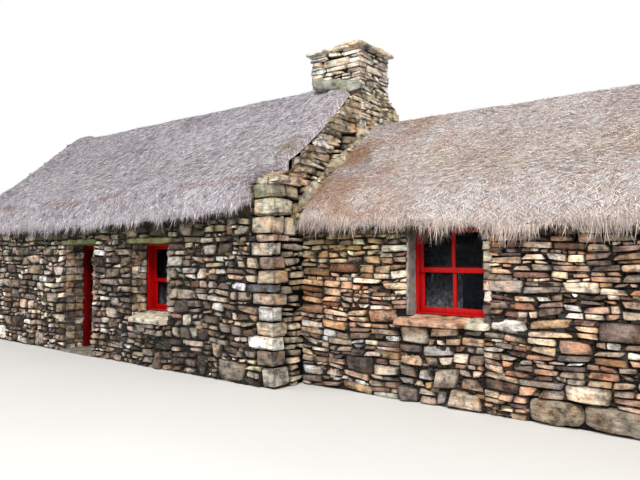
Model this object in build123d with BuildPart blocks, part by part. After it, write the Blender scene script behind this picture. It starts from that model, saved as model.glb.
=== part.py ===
# Thatched stone cottage: a dwelling and a lower byre that share one gable.
# The frame has +X along the front to the right, +Y into the building and +Z up.
# The origin is the middle of the footprint, on the ground. All sizes are in millimetres.
from build123d import *

import math
import os

os.makedirs("parts", exist_ok=True)

# Plan
house_length = 7900.0
house_depth = 4400.0
byre_length = 5600.0
byre_setback = 504.0
wall_thick = 620.0
gable_thick = 620.0
coping_thick = 406.0

# Heights of the walls, and of the roof outside and inside
house_wall_top = 2060.0
house_ridge_top = 4170.0
house_ridge_under = 3660.0
byre_wall_top = 2000.0
byre_ridge_top = 3475.0
byre_ridge_under = 3060.0
wall_head_bed = 300.0
floor_top = 40.0

# Thatch: the rolled eave, the slope and the domed ridge
eave_reach = 150.0
eave_lip = 70.0
house_eave_drop = 135.0
byre_eave_drop = 265.0
eave_roll_in = 480.0
house_roll_rise = 760.0
byre_roll_rise = 560.0
ridge_half = 360.0
ridge_fall = 215.0
roll_strips = 7
dome_strips = 4

# Stations along each roof: the share of its length from the left end, the lift of the eave
# there and how far the eave is drawn back to the wall
house_stations = ((0.0, 0.0, 20.0), (0.46, -10.0, 0.0), (0.87, 60.0, 10.0), (1.0, 150.0, 40.0))
byre_stations = ((0.0, 80.0, 80.0), (0.13, 35.0, 15.0), (0.53, -60.0, 0.0), (1.0, 10.0, 20.0))

# Copings on the gables
coping_front_rise = 390.0
coping_kneeler = 330.0
coping_kneeler_rise = 170.0
coping_over_thatch = 45.0

# Chimney
stack_width = 897.0
stack_depth = 783.0
stack_bedding = 30.0
stack_top = 4575.0
flue_size = 300.0
cap_thick = 58.0
cap_overhang = 70.0
cap_weathering = 12.0
# The cap is an uneven slab: its corners as shares of its half width and half depth
cap_corners = (
    (-1.0, -0.93),
    (-0.38, -1.0),
    (0.3, -0.96),
    (1.0, -1.0),
    (0.96, 0.1),
    (1.0, 0.95),
    (0.12, 1.0),
    (-0.97, 0.96),
    (-1.0, 0.2),
)
drip_reach = 170.0
drip_from_stack = 117.0
drip_past_gable = 70.0
drip_bed = 8.0
drip_inner_thick = 80.0
drip_outer_thick = 160.0
drip_left_lift = 57.0
drip_left_inner_thick = 185.0
breast_depth = 1500.0
breast_height = 2300.0
hearth_width = 950.0
hearth_height = 1150.0

# Mortar fillets between the byre thatch and the gable
fillet_width = 120.0
fillet_rise = 95.0
fillet_edge = 12.0
fillet_bed = 2.0
fillet_first_strip = 1

# Doorway and door
door_to_mid = 3828.0
door_width = 847.0
door_head = 1745.0
lintel_thick = 75.0
lintel_bearing = 100.0
lintel_proud = 12.0
step_proud = 20.0
door_recess = 363.0
frame_depth = 90.0
frame_width = 55.0
stop_width = 20.0
stop_depth = 45.0
leaf_thick = 40.0
leaf_gap = 6.0
leaf_gap_latch = 8.0
leaf_gap_floor = 10.0
ledge_thick = 25.0
ledge_height = 120.0
ledge_inset = 60.0
ledge_from_end = 230.0
hinge_reach = 20.0
strap_thick = 6.0
strap_height = 36.0
strap_length = 430.0
eye_radius = 11.0
pin_radius = 6.0
pin_clearance = 0.3
pin_stand = 8.0
pintle_arm = 12.0
pintle_half_width = 8.0
pintle_plate_thick = 4.0
pintle_plate_height = 80.0
pintle_plate_half = 13.0

# Windows
house_window_to_mid = 1980.0
house_window_width = 862.0
house_sill_top = 675.0
house_sash_bottom = 770.0
house_window_head = 1745.0
house_window_recess = 306.0
house_sash_stile = 70.0
byre_window_from_mid = 1494.0
byre_window_width = 916.0
byre_sill_top = 885.0
byre_sash_bottom = 940.0
byre_window_recess = 182.0
byre_sash_stile = 100.0
sash_depth = 55.0
sash_bottom_rail = 88.0
glass_thick = 6.0
sill_thick = 62.0
house_sill_proud = 45.0
byre_sill_proud = 95.0
byre_sill_left_end = 139.0

# Roof timbers
purlin_size = 80.0
purlin_share = 0.52
rafter_depth = 120.0
rafter_thick = 90.0
collar_depth = 100.0
house_collar_height = 2900.0
byre_collar_height = 2560.0
house_couple_spacing = 1650.0
byre_couple_spacing = 1650.0

# Places that follow from the sizes above
x_west = -(house_length + byre_length) / 2
x_mid = x_west + house_length
x_east = x_mid + byre_length
house_half = house_depth / 2
byre_half = house_half - byre_setback
house_inside = house_half - wall_thick
byre_inside = byre_half - wall_thick
room_west = x_west + gable_thick
room_east = x_mid - gable_thick
byre_room_east = x_east - gable_thick
house_facade = Plane.XZ.offset(house_half)
byre_facade = Plane.XZ.offset(byre_half)
door_right = x_mid - door_to_mid
door_left = door_right - door_width
house_window_right = x_mid - house_window_to_mid
house_window_left = house_window_right - house_window_width
byre_window_left = x_mid + byre_window_from_mid
byre_window_right = byre_window_left + byre_window_width
byre_window_head = byre_wall_top - lintel_thick
house_pitch = math.atan2(house_ridge_under - house_wall_top, house_half - wall_head_bed)
stack_foot = house_ridge_under - stack_depth / 2 * math.tan(house_pitch) - stack_bedding
stack_west = x_mid - stack_width
flue_east = x_mid - (stack_width - flue_size) / 2
flue_west = flue_east - flue_size


def across(x):
    """Plane across the building at x: its first axis is +Y and its second is +Z."""
    return Plane.YZ.offset(x)


def box(x_from, x_to, y_from, y_to, z_from, z_to, mode=Mode.ADD):
    """Upright block between two corners, for the part that is being built."""
    with Locations(((x_from + x_to) / 2, (y_from + y_to) / 2, (z_from + z_to) / 2)):
        Box(x_to - x_from, y_to - y_from, z_to - z_from, mode=mode)


def wall_panel(facade, outline, openings, thick):
    """Wall drawn on its outer face: an outline less its openings (left, right, bottom, top)."""
    with BuildSketch(facade) as elevation:
        with BuildLine():
            Polyline(*outline, close=True)
        make_face()
        for left, right, bottom, top in openings:
            with Locations(((left + right) / 2, (bottom + top) / 2)):
                Rectangle(right - left, top - bottom, mode=Mode.SUBTRACT)
    extrude(elevation.sketch, amount=-thick)


def roof_room(half, wall_top, ridge_under):
    """Corners of a room and its roof space: walls, level wall heads and two slopes."""
    bed = half - wall_head_bed
    return [
        (-half, 0),
        (-half, wall_top),
        (-bed, wall_top),
        (0, ridge_under),
        (bed, wall_top),
        (half, wall_top),
        (half, 0),
    ]


def thatch_outline(half, wall_top, ridge_top, drop, roll_rise, lift, tuck):
    """Top of the thatch on one side, in flat strips: the rolled eave, the slope and the dome.

    The roll is a quarter of an ellipse that stands on the tip of the eave and meets the slope.
    """
    tip = (half + eave_reach - tuck, wall_top - drop + lift)
    shoulder = (half - eave_roll_in, wall_top + roll_rise + lift * 0.3)
    crest = (ridge_half, ridge_top - ridge_fall)
    pitch = math.atan2(crest[1] - shoulder[1], shoulder[0] - crest[0])
    points = []
    for strip in range(roll_strips + 1):
        turn = strip / roll_strips * math.pi / 2
        along = (tip[0] - shoulder[0]) * (1 - math.cos(turn))
        height = (shoulder[1] - tip[1] - along * math.tan(pitch)) * math.sin(turn)
        points.append((tip[0] - along, tip[1] + height + along * math.tan(pitch)))
    for strip in range(dome_strips + 1):
        out = ridge_half * (1 - strip / dome_strips)
        fall = ridge_fall * (out / ridge_half) ** (ridge_half * math.tan(pitch) / ridge_fall)
        points.append((out, ridge_top - fall))
    return points


def thatch_mass(x_from, x_to, stations, half, wall_top, ridge_top, drop, roll_rise, room):
    """Thatch lofted through its stations, then cut to the wall heads and roof timbers below."""
    sections = []
    for share, lift, tuck in stations:
        top = thatch_outline(half, wall_top, ridge_top, drop, roll_rise, lift, tuck)
        lip = (half, wall_top - eave_lip)
        with BuildSketch(across(x_from + share * (x_to - x_from))) as section:
            with BuildLine():
                Polyline((0, lip[1]), lip, *top)
                mirror(about=Plane.YZ)
            make_face()
        sections.append(section.sketch)
    loft(sections, ruled=True)
    with BuildSketch(across(x_from)) as below:
        with BuildLine():
            Polyline(*room, close=True)
        make_face()
    extrude(below.sketch, amount=x_to - x_from, mode=Mode.SUBTRACT)


def coping_outline(half, wall_top, ridge_top, ridge_under, inner):
    """One side of a gable coping, from its kneeler at the eave up to y = -inner."""
    bed = half - wall_head_bed
    rise_under = (ridge_under - wall_top) / bed
    crest_z = ridge_top - ridge_fall + coping_over_thatch
    knee = (-half + coping_kneeler, wall_top + coping_front_rise + coping_kneeler_rise)
    points = [
        (-half, wall_top),
        (-half, wall_top + coping_front_rise),
        knee,
        (-ridge_half, crest_z),
    ]
    if inner > 0:
        steep = (crest_z - knee[1]) / (half - coping_kneeler - ridge_half)
        points[-1] = (-inner, crest_z - (inner - ridge_half) * steep)
    else:
        points.append((0, ridge_top + coping_over_thatch))
    points.append((-inner, ridge_under - inner * rise_under))
    points.append((-bed, wall_top))
    return points


def coping_height(out, half, wall_top, ridge_top):
    """Height of the sloped top of a coping at a distance out from the ridge line."""
    crest_z = ridge_top - ridge_fall + coping_over_thatch
    knee_z = wall_top + coping_front_rise + coping_kneeler_rise
    steep = (crest_z - knee_z) / (half - coping_kneeler - ridge_half)
    return crest_z - (out - ridge_half) * steep


def fillet(x_from, side):
    """Mortar on the first strip of the byre thatch: thick at the gable, thin at its free edge."""
    first, second = byre_stations[0], byre_stations[1]
    reach = (second[0] - first[0]) * (x_east - coping_thick - x_mid)
    sections = []
    for out, rise in ((0.0, fillet_rise), (fillet_width, fillet_edge)):
        share = out / reach
        lift = first[1] + (second[1] - first[1]) * share
        tuck = first[2] + (second[2] - first[2]) * share
        top = thatch_outline(
            byre_half, byre_wall_top, byre_ridge_top, byre_eave_drop, byre_roll_rise, lift, tuck
        )
        line = top[fillet_first_strip : roll_strips + 2]
        bed, skin = [], []
        for place, (y, z) in enumerate(line):
            before, after = line[max(place - 1, 0)], line[min(place + 1, len(line) - 1)]
            run = math.hypot(after[0] - before[0], after[1] - before[1])
            out_y, out_z = (after[1] - before[1]) / run, (before[0] - after[0]) / run
            bed.append((y + fillet_bed * out_y, z + fillet_bed * out_z))
            skin.append((y + rise * out_y, z + rise * out_z))
        with BuildSketch(across(x_from + out)) as section:
            with BuildLine():
                Polyline(*[(side * y, z) for y, z in bed + skin[::-1]], close=True)
            make_face()
        sections.append(section.sketch)
    loft(sections, ruled=True)


def couple(plane, half, wall_top, ridge_under, collar_z):
    """Pair of rafters under the purlins with a collar, feet on the wall heads."""
    bed = half - wall_head_bed
    pitch = math.atan2(ridge_under - wall_top, bed)
    down = purlin_size / math.cos(pitch)
    deep = rafter_depth / math.cos(pitch)
    top = ridge_under - down
    bottom = top - deep
    slope = math.tan(pitch)
    with BuildSketch(plane) as truss:
        with BuildLine():
            Polyline(
                (0, top),
                ((top - wall_top) / slope, wall_top),
                ((bottom - wall_top) / slope, wall_top),
                (0, bottom),
                close=True,
            )
        make_face()
        mirror(about=Plane.YZ)
        reach = (top - collar_z - collar_depth) / slope
        with Locations((0, collar_z + collar_depth / 2)):
            Rectangle(2 * reach, collar_depth)
    extrude(truss.sketch, amount=rafter_thick / 2, both=True)


def purlin_pair(x_from, x_to, half, wall_top, ridge_under):
    """Purlins at one height on both slopes, flat against the thatch and the rafters."""
    bed = half - wall_head_bed
    pitch = math.atan2(ridge_under - wall_top, bed)
    y = bed * purlin_share
    z = ridge_under - y * math.tan(pitch)
    with BuildSketch(across(x_from)) as ends:
        with Locations((y, z)):
            Rectangle(
                purlin_size,
                purlin_size,
                rotation=-math.degrees(pitch),
                align=(Align.CENTER, Align.MAX),
            )
        mirror(about=Plane.YZ)
    extrude(ends.sketch, amount=x_to - x_from)


def ridge_pole(x_from, x_to, half, wall_top, ridge_under):
    """Ridge pole between the thatch and the heads of the rafters."""
    slope = (ridge_under - wall_top) / (half - wall_head_bed)
    drop = purlin_size * math.sqrt(1 + slope * slope)
    half_width = drop / slope * 0.6
    with BuildSketch(across(x_from)) as end:
        with BuildLine():
            Polyline(
                (0, ridge_under),
                (half_width, ridge_under - half_width * slope),
                (half_width * 0.5, ridge_under - drop - half_width * 0.5 * slope),
                (0, ridge_under - drop),
                (-half_width * 0.5, ridge_under - drop - half_width * 0.5 * slope),
                (-half_width, ridge_under - half_width * slope),
                close=True,
            )
        make_face()
    extrude(end.sketch, amount=x_to - x_from)


house_room = roof_room(house_half, house_wall_top, house_ridge_under)
byre_room = roof_room(byre_half, byre_wall_top, byre_ridge_under)
lintel_left = door_left - lintel_bearing
lintel_right = door_right + lintel_bearing
window_lintel_left = house_window_left - lintel_bearing
window_lintel_right = house_window_right + lintel_bearing
byre_lintel_left = byre_window_left - lintel_bearing
byre_lintel_right = byre_window_right + lintel_bearing

# House walls. The front wall is in three pieces: west of the door, over it and east of it.
with BuildPart() as house_front_wall_west:
    wall_panel(
        house_facade,
        [(room_west, 0), (room_west, house_wall_top), (door_left, house_wall_top), (door_left, 0)],
        [(lintel_left, door_left, door_head, house_wall_top)],
        wall_thick,
    )

with BuildPart() as wall_over_door:
    box(
        lintel_left,
        lintel_right,
        -house_half,
        -house_inside,
        door_head + lintel_thick,
        house_wall_top,
    )

with BuildPart() as house_front_wall_east:
    wall_panel(
        house_facade,
        [(door_right, 0), (door_right, house_wall_top), (room_east, house_wall_top), (room_east, 0)],
        [
            (door_right, lintel_right, door_head, house_wall_top),
            (house_window_left, house_window_right, house_sill_top - sill_thick, house_window_head),
            (
                window_lintel_left,
                window_lintel_right,
                house_window_head,
                house_window_head + lintel_thick,
            ),
        ],
        wall_thick,
    )

with BuildPart() as house_back_wall:
    box(room_west, room_east, house_inside, house_half, 0, house_wall_top)

# Gables, full thickness up to the underside of the thatch
with BuildPart() as west_gable:
    with BuildSketch(across(x_west)):
        with BuildLine():
            Polyline(*house_room, close=True)
        make_face()
    extrude(amount=gable_thick)

with BuildPart() as mid_gable:
    with BuildSketch(across(room_east)):
        with BuildLine():
            Polyline(*house_room, close=True)
        make_face()
    extrude(amount=gable_thick)
    box(
        room_east,
        x_mid,
        -stack_depth / 2,
        stack_depth / 2,
        stack_foot,
        house_ridge_under,
        mode=Mode.SUBTRACT,
    )
    box(
        room_east,
        flue_east,
        -hearth_width / 2,
        hearth_width / 2,
        floor_top,
        hearth_height,
        mode=Mode.SUBTRACT,
    )
    box(
        flue_west,
        flue_east,
        -flue_size / 2,
        flue_size / 2,
        hearth_height,
        stack_foot,
        mode=Mode.SUBTRACT,
    )

with BuildPart() as byre_end_gable:
    with BuildSketch(across(x_east)):
        with BuildLine():
            Polyline(*byre_room, close=True)
        make_face()
    extrude(amount=-gable_thick)

# Copings: the raised edge of each gable, beside the thatch
with BuildPart() as west_gable_coping:
    with BuildSketch(across(x_west)):
        with BuildLine():
            Polyline(
                *coping_outline(house_half, house_wall_top, house_ridge_top, house_ridge_under, 0),
                close=True,
            )
        make_face()
        mirror(about=Plane.YZ)
    extrude(amount=coping_thick)

with BuildPart() as mid_gable_coping:
    with BuildSketch(across(x_mid)):
        with BuildLine():
            Polyline(
                *coping_outline(
                    house_half,
                    house_wall_top,
                    house_ridge_top,
                    house_ridge_under,
                    stack_depth / 2,
                ),
                close=True,
            )
        make_face()
        mirror(about=Plane.YZ)
    extrude(amount=-coping_thick)

with BuildPart() as byre_end_coping:
    with BuildSketch(across(x_east)):
        with BuildLine():
            Polyline(
                *coping_outline(byre_half, byre_wall_top, byre_ridge_top, byre_ridge_under, 0),
                close=True,
            )
        make_face()
        mirror(about=Plane.YZ)
    extrude(amount=-coping_thick)

# Chimney: a breast inside the gable, the stack over the ridge, its cap and a drip stone
with BuildPart() as chimney_breast:
    with BuildSketch(across(stack_west)):
        with BuildLine():
            Polyline(
                (-breast_depth / 2, floor_top),
                (-breast_depth / 2, breast_height),
                (-stack_depth / 2, stack_foot),
                (stack_depth / 2, stack_foot),
                (breast_depth / 2, breast_height),
                (breast_depth / 2, floor_top),
                close=True,
            )
        make_face()
        with Locations((0, floor_top)):
            Rectangle(
                hearth_width,
                hearth_height - floor_top,
                align=(Align.CENTER, Align.MIN),
                mode=Mode.SUBTRACT,
            )
    extrude(amount=stack_width - gable_thick)

with BuildPart() as chimney_stack:
    box(stack_west, x_mid, -stack_depth / 2, stack_depth / 2, stack_foot, stack_top)
    box(
        flue_west,
        flue_east,
        -flue_size / 2,
        flue_size / 2,
        stack_foot,
        stack_top,
        mode=Mode.SUBTRACT,
    )

with BuildPart() as chimney_cap:
    sections = []
    for height, inset in ((stack_top, 0.0), (stack_top + cap_thick, cap_weathering)):
        across_x = stack_width / 2 + cap_overhang - inset
        across_y = stack_depth / 2 + cap_overhang - inset
        middle = (stack_west + x_mid) / 2
        with BuildSketch(Plane.XY.offset(height)) as slab_face:
            with BuildLine():
                Polyline(*[(middle + a * across_x, b * across_y) for a, b in cap_corners], close=True)
            make_face()
        sections.append(slab_face.sketch)
    loft(sections, ruled=True)
    box(
        flue_west,
        flue_east,
        -flue_size / 2,
        flue_size / 2,
        stack_top,
        stack_top + cap_thick,
        mode=Mode.SUBTRACT,
    )

# The drip stone rests on the coping at its right end and rises to the left over the thatch
with BuildPart() as chimney_drip_stone:
    inner, outer = stack_depth / 2, stack_depth / 2 + drip_reach
    inner_bed = coping_height(inner, house_half, house_wall_top, house_ridge_top) + drip_bed
    outer_bed = coping_height(outer, house_half, house_wall_top, house_ridge_top) + drip_bed
    left_bed = inner_bed + drip_left_lift
    left_corners = (
        (-inner, left_bed),
        (-inner, left_bed + drip_left_inner_thick),
        (-outer, left_bed + drip_outer_thick),
        (-outer, left_bed),
    )
    right_corners = (
        (-inner, inner_bed),
        (-inner, inner_bed + drip_inner_thick),
        (-outer, outer_bed + drip_outer_thick),
        (-outer, outer_bed),
    )
    sections = []
    for x, corners in (
        (stack_west + drip_from_stack, left_corners),
        (x_mid + drip_past_gable, right_corners),
    ):
        with BuildSketch(across(x)) as end_face:
            with BuildLine():
                Polyline(*corners, close=True)
            make_face()
        sections.append(end_face.sketch)
    loft(sections, ruled=True)

# Doorway: lintel, step, frame with its stop, and the pintles that carry the door
with BuildPart() as door_lintel:
    box(
        lintel_left,
        lintel_right,
        -house_half - lintel_proud,
        -house_inside,
        door_head,
        door_head + lintel_thick,
    )

with BuildPart() as door_step:
    box(door_left, door_right, -house_half - step_proud, -house_inside, 0, floor_top)

with BuildPart() as house_floor:
    box(room_west, room_east, -house_inside, house_inside, 0, floor_top)

frame_front = -house_half + door_recess
frame_back = frame_front + frame_depth
hinge_x = door_left + frame_width + leaf_gap - hinge_reach
hinge_y = frame_back + hinge_reach
with BuildPart() as door_frame:
    box(door_left, door_right, frame_front, frame_back, floor_top, door_head)
    box(
        door_left + frame_width + stop_width,
        door_right - frame_width - stop_width,
        frame_front,
        frame_back,
        floor_top,
        door_head - frame_width - stop_width,
        mode=Mode.SUBTRACT,
    )
    box(
        door_left + frame_width,
        door_right - frame_width,
        frame_back - stop_depth,
        frame_back,
        floor_top,
        door_head - frame_width,
        mode=Mode.SUBTRACT,
    )

# The door stands open, at a right angle to the front, as a leaf on the west jamb.
leaf_near = hinge_y + hinge_reach
leaf_far = leaf_near + door_width - 2 * frame_width - leaf_gap - leaf_gap_latch
leaf_bottom = floor_top + leaf_gap_floor
leaf_top = door_head - frame_width - leaf_gap
ledge_face = hinge_x + hinge_reach - ledge_thick
ledge_levels = (
    leaf_bottom + ledge_from_end,
    (leaf_bottom + leaf_top) / 2,
    leaf_top - ledge_from_end,
)
hinge_levels = (ledge_levels[0], ledge_levels[2])
with BuildPart() as door_leaf:
    box(
        hinge_x + hinge_reach,
        hinge_x + hinge_reach + leaf_thick,
        leaf_near,
        leaf_far,
        leaf_bottom,
        leaf_top,
    )
    for level in ledge_levels:
        box(
            ledge_face,
            hinge_x + hinge_reach,
            leaf_near + ledge_inset,
            leaf_far - ledge_inset,
            level - ledge_height / 2,
            level + ledge_height / 2,
        )

with BuildPart() as door_hinge_straps:
    for level in hinge_levels:
        box(
            ledge_face - strap_thick,
            ledge_face,
            hinge_y,
            leaf_near + strap_length,
            level - strap_height / 2,
            level + strap_height / 2,
        )
        with BuildSketch(Plane.XY.offset(level - strap_height / 2)):
            with Locations((hinge_x, hinge_y)):
                Circle(eye_radius)
        extrude(amount=strap_height)
        with BuildSketch(Plane.XY.offset(level - strap_height / 2)):
            with Locations((hinge_x, hinge_y)):
                Circle(pin_radius + pin_clearance)
        extrude(amount=strap_height, mode=Mode.SUBTRACT)

with BuildPart() as door_pintles:
    for level in hinge_levels:
        eye_bottom = level - strap_height / 2 - pin_clearance
        box(
            hinge_x - pintle_plate_half,
            hinge_x + pintle_plate_half,
            frame_back,
            frame_back + pintle_plate_thick,
            eye_bottom - pintle_plate_height,
            eye_bottom,
        )
        box(
            hinge_x - pintle_half_width,
            hinge_x + pintle_half_width,
            frame_back,
            hinge_y + pintle_half_width,
            eye_bottom - pintle_arm,
            eye_bottom,
        )
        with BuildSketch(Plane.XY.offset(eye_bottom)):
            with Locations((hinge_x, hinge_y)):
                Circle(pin_radius)
        extrude(amount=strap_height + pin_clearance + pin_stand)

# House window: lintel, sill, sash and glass
with BuildPart() as house_window_lintel:
    box(
        window_lintel_left,
        window_lintel_right,
        -house_half - lintel_proud,
        -house_inside,
        house_window_head,
        house_window_head + lintel_thick,
    )


def sill(x_from, x_to, half, sill_top, sash_bottom, recess, proud):
    """Weathered sill: a flag that rises from its front edge to the foot of the sash."""
    with BuildSketch(across(x_from)) as profile:
        with BuildLine():
            Polyline(
                (-half - proud, sill_top - sill_thick),
                (-half - proud, sill_top),
                (-half + recess, sash_bottom),
                (-half + wall_thick, sash_bottom),
                (-half + wall_thick, sill_top - sill_thick),
                close=True,
            )
        make_face()
    extrude(profile.sketch, amount=x_to - x_from)


def sash(left, right, half, recess, bottom, top, stile):
    """Fixed sash: two stiles, a head and a deeper bottom rail, round one opening."""
    box(left, right, -half + recess, -half + recess + sash_depth, bottom, top)
    box(
        left + stile,
        right - stile,
        -half + recess,
        -half + recess + sash_depth,
        bottom + sash_bottom_rail,
        top - stile,
        mode=Mode.SUBTRACT,
    )


def glass(left, right, half, recess, bottom, top, stile):
    """Sheet of glass in the middle of its sash."""
    middle = -half + recess + sash_depth / 2
    box(
        left + stile,
        right - stile,
        middle - glass_thick / 2,
        middle + glass_thick / 2,
        bottom + sash_bottom_rail,
        top - stile,
    )


house_sash_place = (
    house_window_left,
    house_window_right,
    house_half,
    house_window_recess,
    house_sash_bottom,
    house_window_head,
    house_sash_stile,
)
byre_sash_place = (
    byre_window_left,
    byre_window_right,
    byre_half,
    byre_window_recess,
    byre_sash_bottom,
    byre_window_head,
    byre_sash_stile,
)

with BuildPart() as house_window_sill:
    sill(
        house_window_left,
        house_window_right,
        house_half,
        house_sill_top,
        house_sash_bottom,
        house_window_recess,
        house_sill_proud,
    )

with BuildPart() as house_window_frame:
    sash(*house_sash_place)

with BuildPart() as house_window_glass:
    glass(*house_sash_place)

# House roof: couples, purlins, and the thatch in front slope, back slope and ridge
couple_middle = (room_west + stack_west) / 2
with BuildPart() as house_couples:
    for step in (-1, 0, 1):
        couple(
            across(couple_middle + step * house_couple_spacing),
            house_half,
            house_wall_top,
            house_ridge_under,
            house_collar_height,
        )

with BuildPart() as house_purlins:
    purlin_pair(room_west, room_east, house_half, house_wall_top, house_ridge_under)
    ridge_pole(room_west, stack_west, house_half, house_wall_top, house_ridge_under)

with BuildPart() as house_thatch:
    thatch_mass(
        x_west + coping_thick,
        x_mid - coping_thick,
        house_stations,
        house_half,
        house_wall_top,
        house_ridge_top,
        house_eave_drop,
        house_roll_rise,
        house_room,
    )
    box(
        stack_west,
        x_mid,
        -stack_depth / 2,
        stack_depth / 2,
        stack_foot,
        stack_top,
        mode=Mode.SUBTRACT,
    )

front_edge = Plane.XZ.offset(ridge_half)
back_edge = Plane.XZ.offset(-ridge_half)
with BuildPart() as house_thatch_front:
    add(house_thatch.part)
    split(bisect_by=front_edge, keep=Keep.TOP)

with BuildPart() as house_thatch_back:
    add(house_thatch.part)
    split(bisect_by=back_edge, keep=Keep.BOTTOM)

with BuildPart() as house_thatch_ridge:
    add(house_thatch.part)
    split(bisect_by=front_edge, keep=Keep.BOTTOM)
    split(bisect_by=back_edge, keep=Keep.TOP)

# Byre: walls, window and roof, set back from the front of the house
with BuildPart() as byre_front_wall:
    wall_panel(
        byre_facade,
        [(x_mid, 0), (x_mid, byre_wall_top), (byre_room_east, byre_wall_top), (byre_room_east, 0)],
        [
            (byre_window_left, byre_window_right, byre_sill_top - sill_thick, byre_window_head),
            (byre_lintel_left, byre_lintel_right, byre_window_head, byre_wall_top),
            (
                byre_window_left - byre_sill_left_end,
                byre_window_left,
                byre_sill_top - sill_thick,
                byre_sill_top,
            ),
        ],
        wall_thick,
    )

with BuildPart() as byre_back_wall:
    box(x_mid, byre_room_east, byre_inside, byre_half, 0, byre_wall_top)

with BuildPart() as byre_window_lintel:
    box(
        byre_lintel_left,
        byre_lintel_right,
        -byre_half,
        -byre_inside,
        byre_window_head,
        byre_wall_top,
    )

with BuildPart() as byre_window_sill:
    sill(
        byre_window_left,
        byre_window_right,
        byre_half,
        byre_sill_top,
        byre_sash_bottom,
        byre_window_recess,
        byre_sill_proud,
    )
    box(
        byre_window_left - byre_sill_left_end,
        byre_window_left,
        -byre_half - byre_sill_proud,
        -byre_inside,
        byre_sill_top - sill_thick,
        byre_sill_top,
    )

with BuildPart() as byre_window_frame:
    sash(*byre_sash_place)

with BuildPart() as byre_window_glass:
    glass(*byre_sash_place)

byre_couple_middle = (x_mid + byre_room_east) / 2
with BuildPart() as byre_couples:
    for step in (-0.5, 0.5):
        couple(
            across(byre_couple_middle + step * byre_couple_spacing),
            byre_half,
            byre_wall_top,
            byre_ridge_under,
            byre_collar_height,
        )

with BuildPart() as byre_purlins:
    purlin_pair(x_mid, byre_room_east, byre_half, byre_wall_top, byre_ridge_under)
    ridge_pole(x_mid, byre_room_east, byre_half, byre_wall_top, byre_ridge_under)

with BuildPart() as byre_thatch:
    thatch_mass(
        x_mid,
        x_east - coping_thick,
        byre_stations,
        byre_half,
        byre_wall_top,
        byre_ridge_top,
        byre_eave_drop,
        byre_roll_rise,
        byre_room,
    )

with BuildPart() as byre_thatch_front:
    add(byre_thatch.part)
    split(bisect_by=front_edge, keep=Keep.TOP)

with BuildPart() as byre_thatch_back:
    add(byre_thatch.part)
    split(bisect_by=back_edge, keep=Keep.BOTTOM)

with BuildPart() as byre_thatch_ridge:
    add(byre_thatch.part)
    split(bisect_by=front_edge, keep=Keep.BOTTOM)
    split(bisect_by=back_edge, keep=Keep.TOP)

with BuildPart() as byre_fillet_front:
    fillet(x_mid, -1)

with BuildPart() as byre_fillet_back:
    fillet(x_mid, 1)

pieces = {
    "house_front_wall_west": house_front_wall_west,
    "wall_over_door": wall_over_door,
    "house_front_wall_east": house_front_wall_east,
    "house_back_wall": house_back_wall,
    "west_gable": west_gable,
    "mid_gable": mid_gable,
    "byre_end_gable": byre_end_gable,
    "west_gable_coping": west_gable_coping,
    "mid_gable_coping": mid_gable_coping,
    "byre_end_coping": byre_end_coping,
    "chimney_breast": chimney_breast,
    "chimney_stack": chimney_stack,
    "chimney_cap": chimney_cap,
    "chimney_drip_stone": chimney_drip_stone,
    "door_lintel": door_lintel,
    "door_step": door_step,
    "house_floor": house_floor,
    "door_frame": door_frame,
    "door_leaf": door_leaf,
    "door_hinge_straps": door_hinge_straps,
    "door_pintles": door_pintles,
    "house_window_lintel": house_window_lintel,
    "house_window_sill": house_window_sill,
    "house_window_frame": house_window_frame,
    "house_window_glass": house_window_glass,
    "house_couples": house_couples,
    "house_purlins": house_purlins,
    "house_thatch_front": house_thatch_front,
    "house_thatch_back": house_thatch_back,
    "house_thatch_ridge": house_thatch_ridge,
    "byre_front_wall": byre_front_wall,
    "byre_back_wall": byre_back_wall,
    "byre_window_lintel": byre_window_lintel,
    "byre_window_sill": byre_window_sill,
    "byre_window_frame": byre_window_frame,
    "byre_window_glass": byre_window_glass,
    "byre_couples": byre_couples,
    "byre_purlins": byre_purlins,
    "byre_thatch_front": byre_thatch_front,
    "byre_thatch_back": byre_thatch_back,
    "byre_thatch_ridge": byre_thatch_ridge,
    "byre_fillet_front": byre_fillet_front,
    "byre_fillet_back": byre_fillet_back,
}
for name, piece in pieces.items():
    piece.part.label = name
    export_step(piece.part, f"parts/{name}.step")

print("door hinge axis (m):", round(hinge_x / 1000, 4), round(hinge_y / 1000, 4))
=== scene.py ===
# %% [markdown]
# # A thatched stone cottage
# The real object is a small dwelling with a lower byre built against its gable: dry rubble walls of
# flat-bedded stone, thick straw thatch with rolled eaves, raised gable edges and a squat chimney.
# The measured model gives every wall, roof and frame in metres. This lesson adds what the eye sees:
# each stone, the straw, the painted timber and the light.

# %% Load the measured model
import math
import bpy
import numpy as np
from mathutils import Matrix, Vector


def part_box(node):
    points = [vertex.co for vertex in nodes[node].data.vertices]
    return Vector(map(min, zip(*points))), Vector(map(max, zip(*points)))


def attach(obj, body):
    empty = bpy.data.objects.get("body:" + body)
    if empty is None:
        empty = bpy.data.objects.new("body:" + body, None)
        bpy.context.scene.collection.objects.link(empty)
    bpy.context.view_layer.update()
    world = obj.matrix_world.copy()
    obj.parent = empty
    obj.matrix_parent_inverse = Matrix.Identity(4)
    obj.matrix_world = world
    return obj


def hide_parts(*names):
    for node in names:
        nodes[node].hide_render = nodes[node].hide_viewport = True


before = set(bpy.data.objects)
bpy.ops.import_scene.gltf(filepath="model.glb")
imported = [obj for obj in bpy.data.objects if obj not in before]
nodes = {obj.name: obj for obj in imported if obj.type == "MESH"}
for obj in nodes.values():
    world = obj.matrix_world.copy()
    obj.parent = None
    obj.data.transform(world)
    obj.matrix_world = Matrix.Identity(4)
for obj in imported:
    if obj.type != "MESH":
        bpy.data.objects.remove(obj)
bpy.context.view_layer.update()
scene = bpy.context.scene
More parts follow.
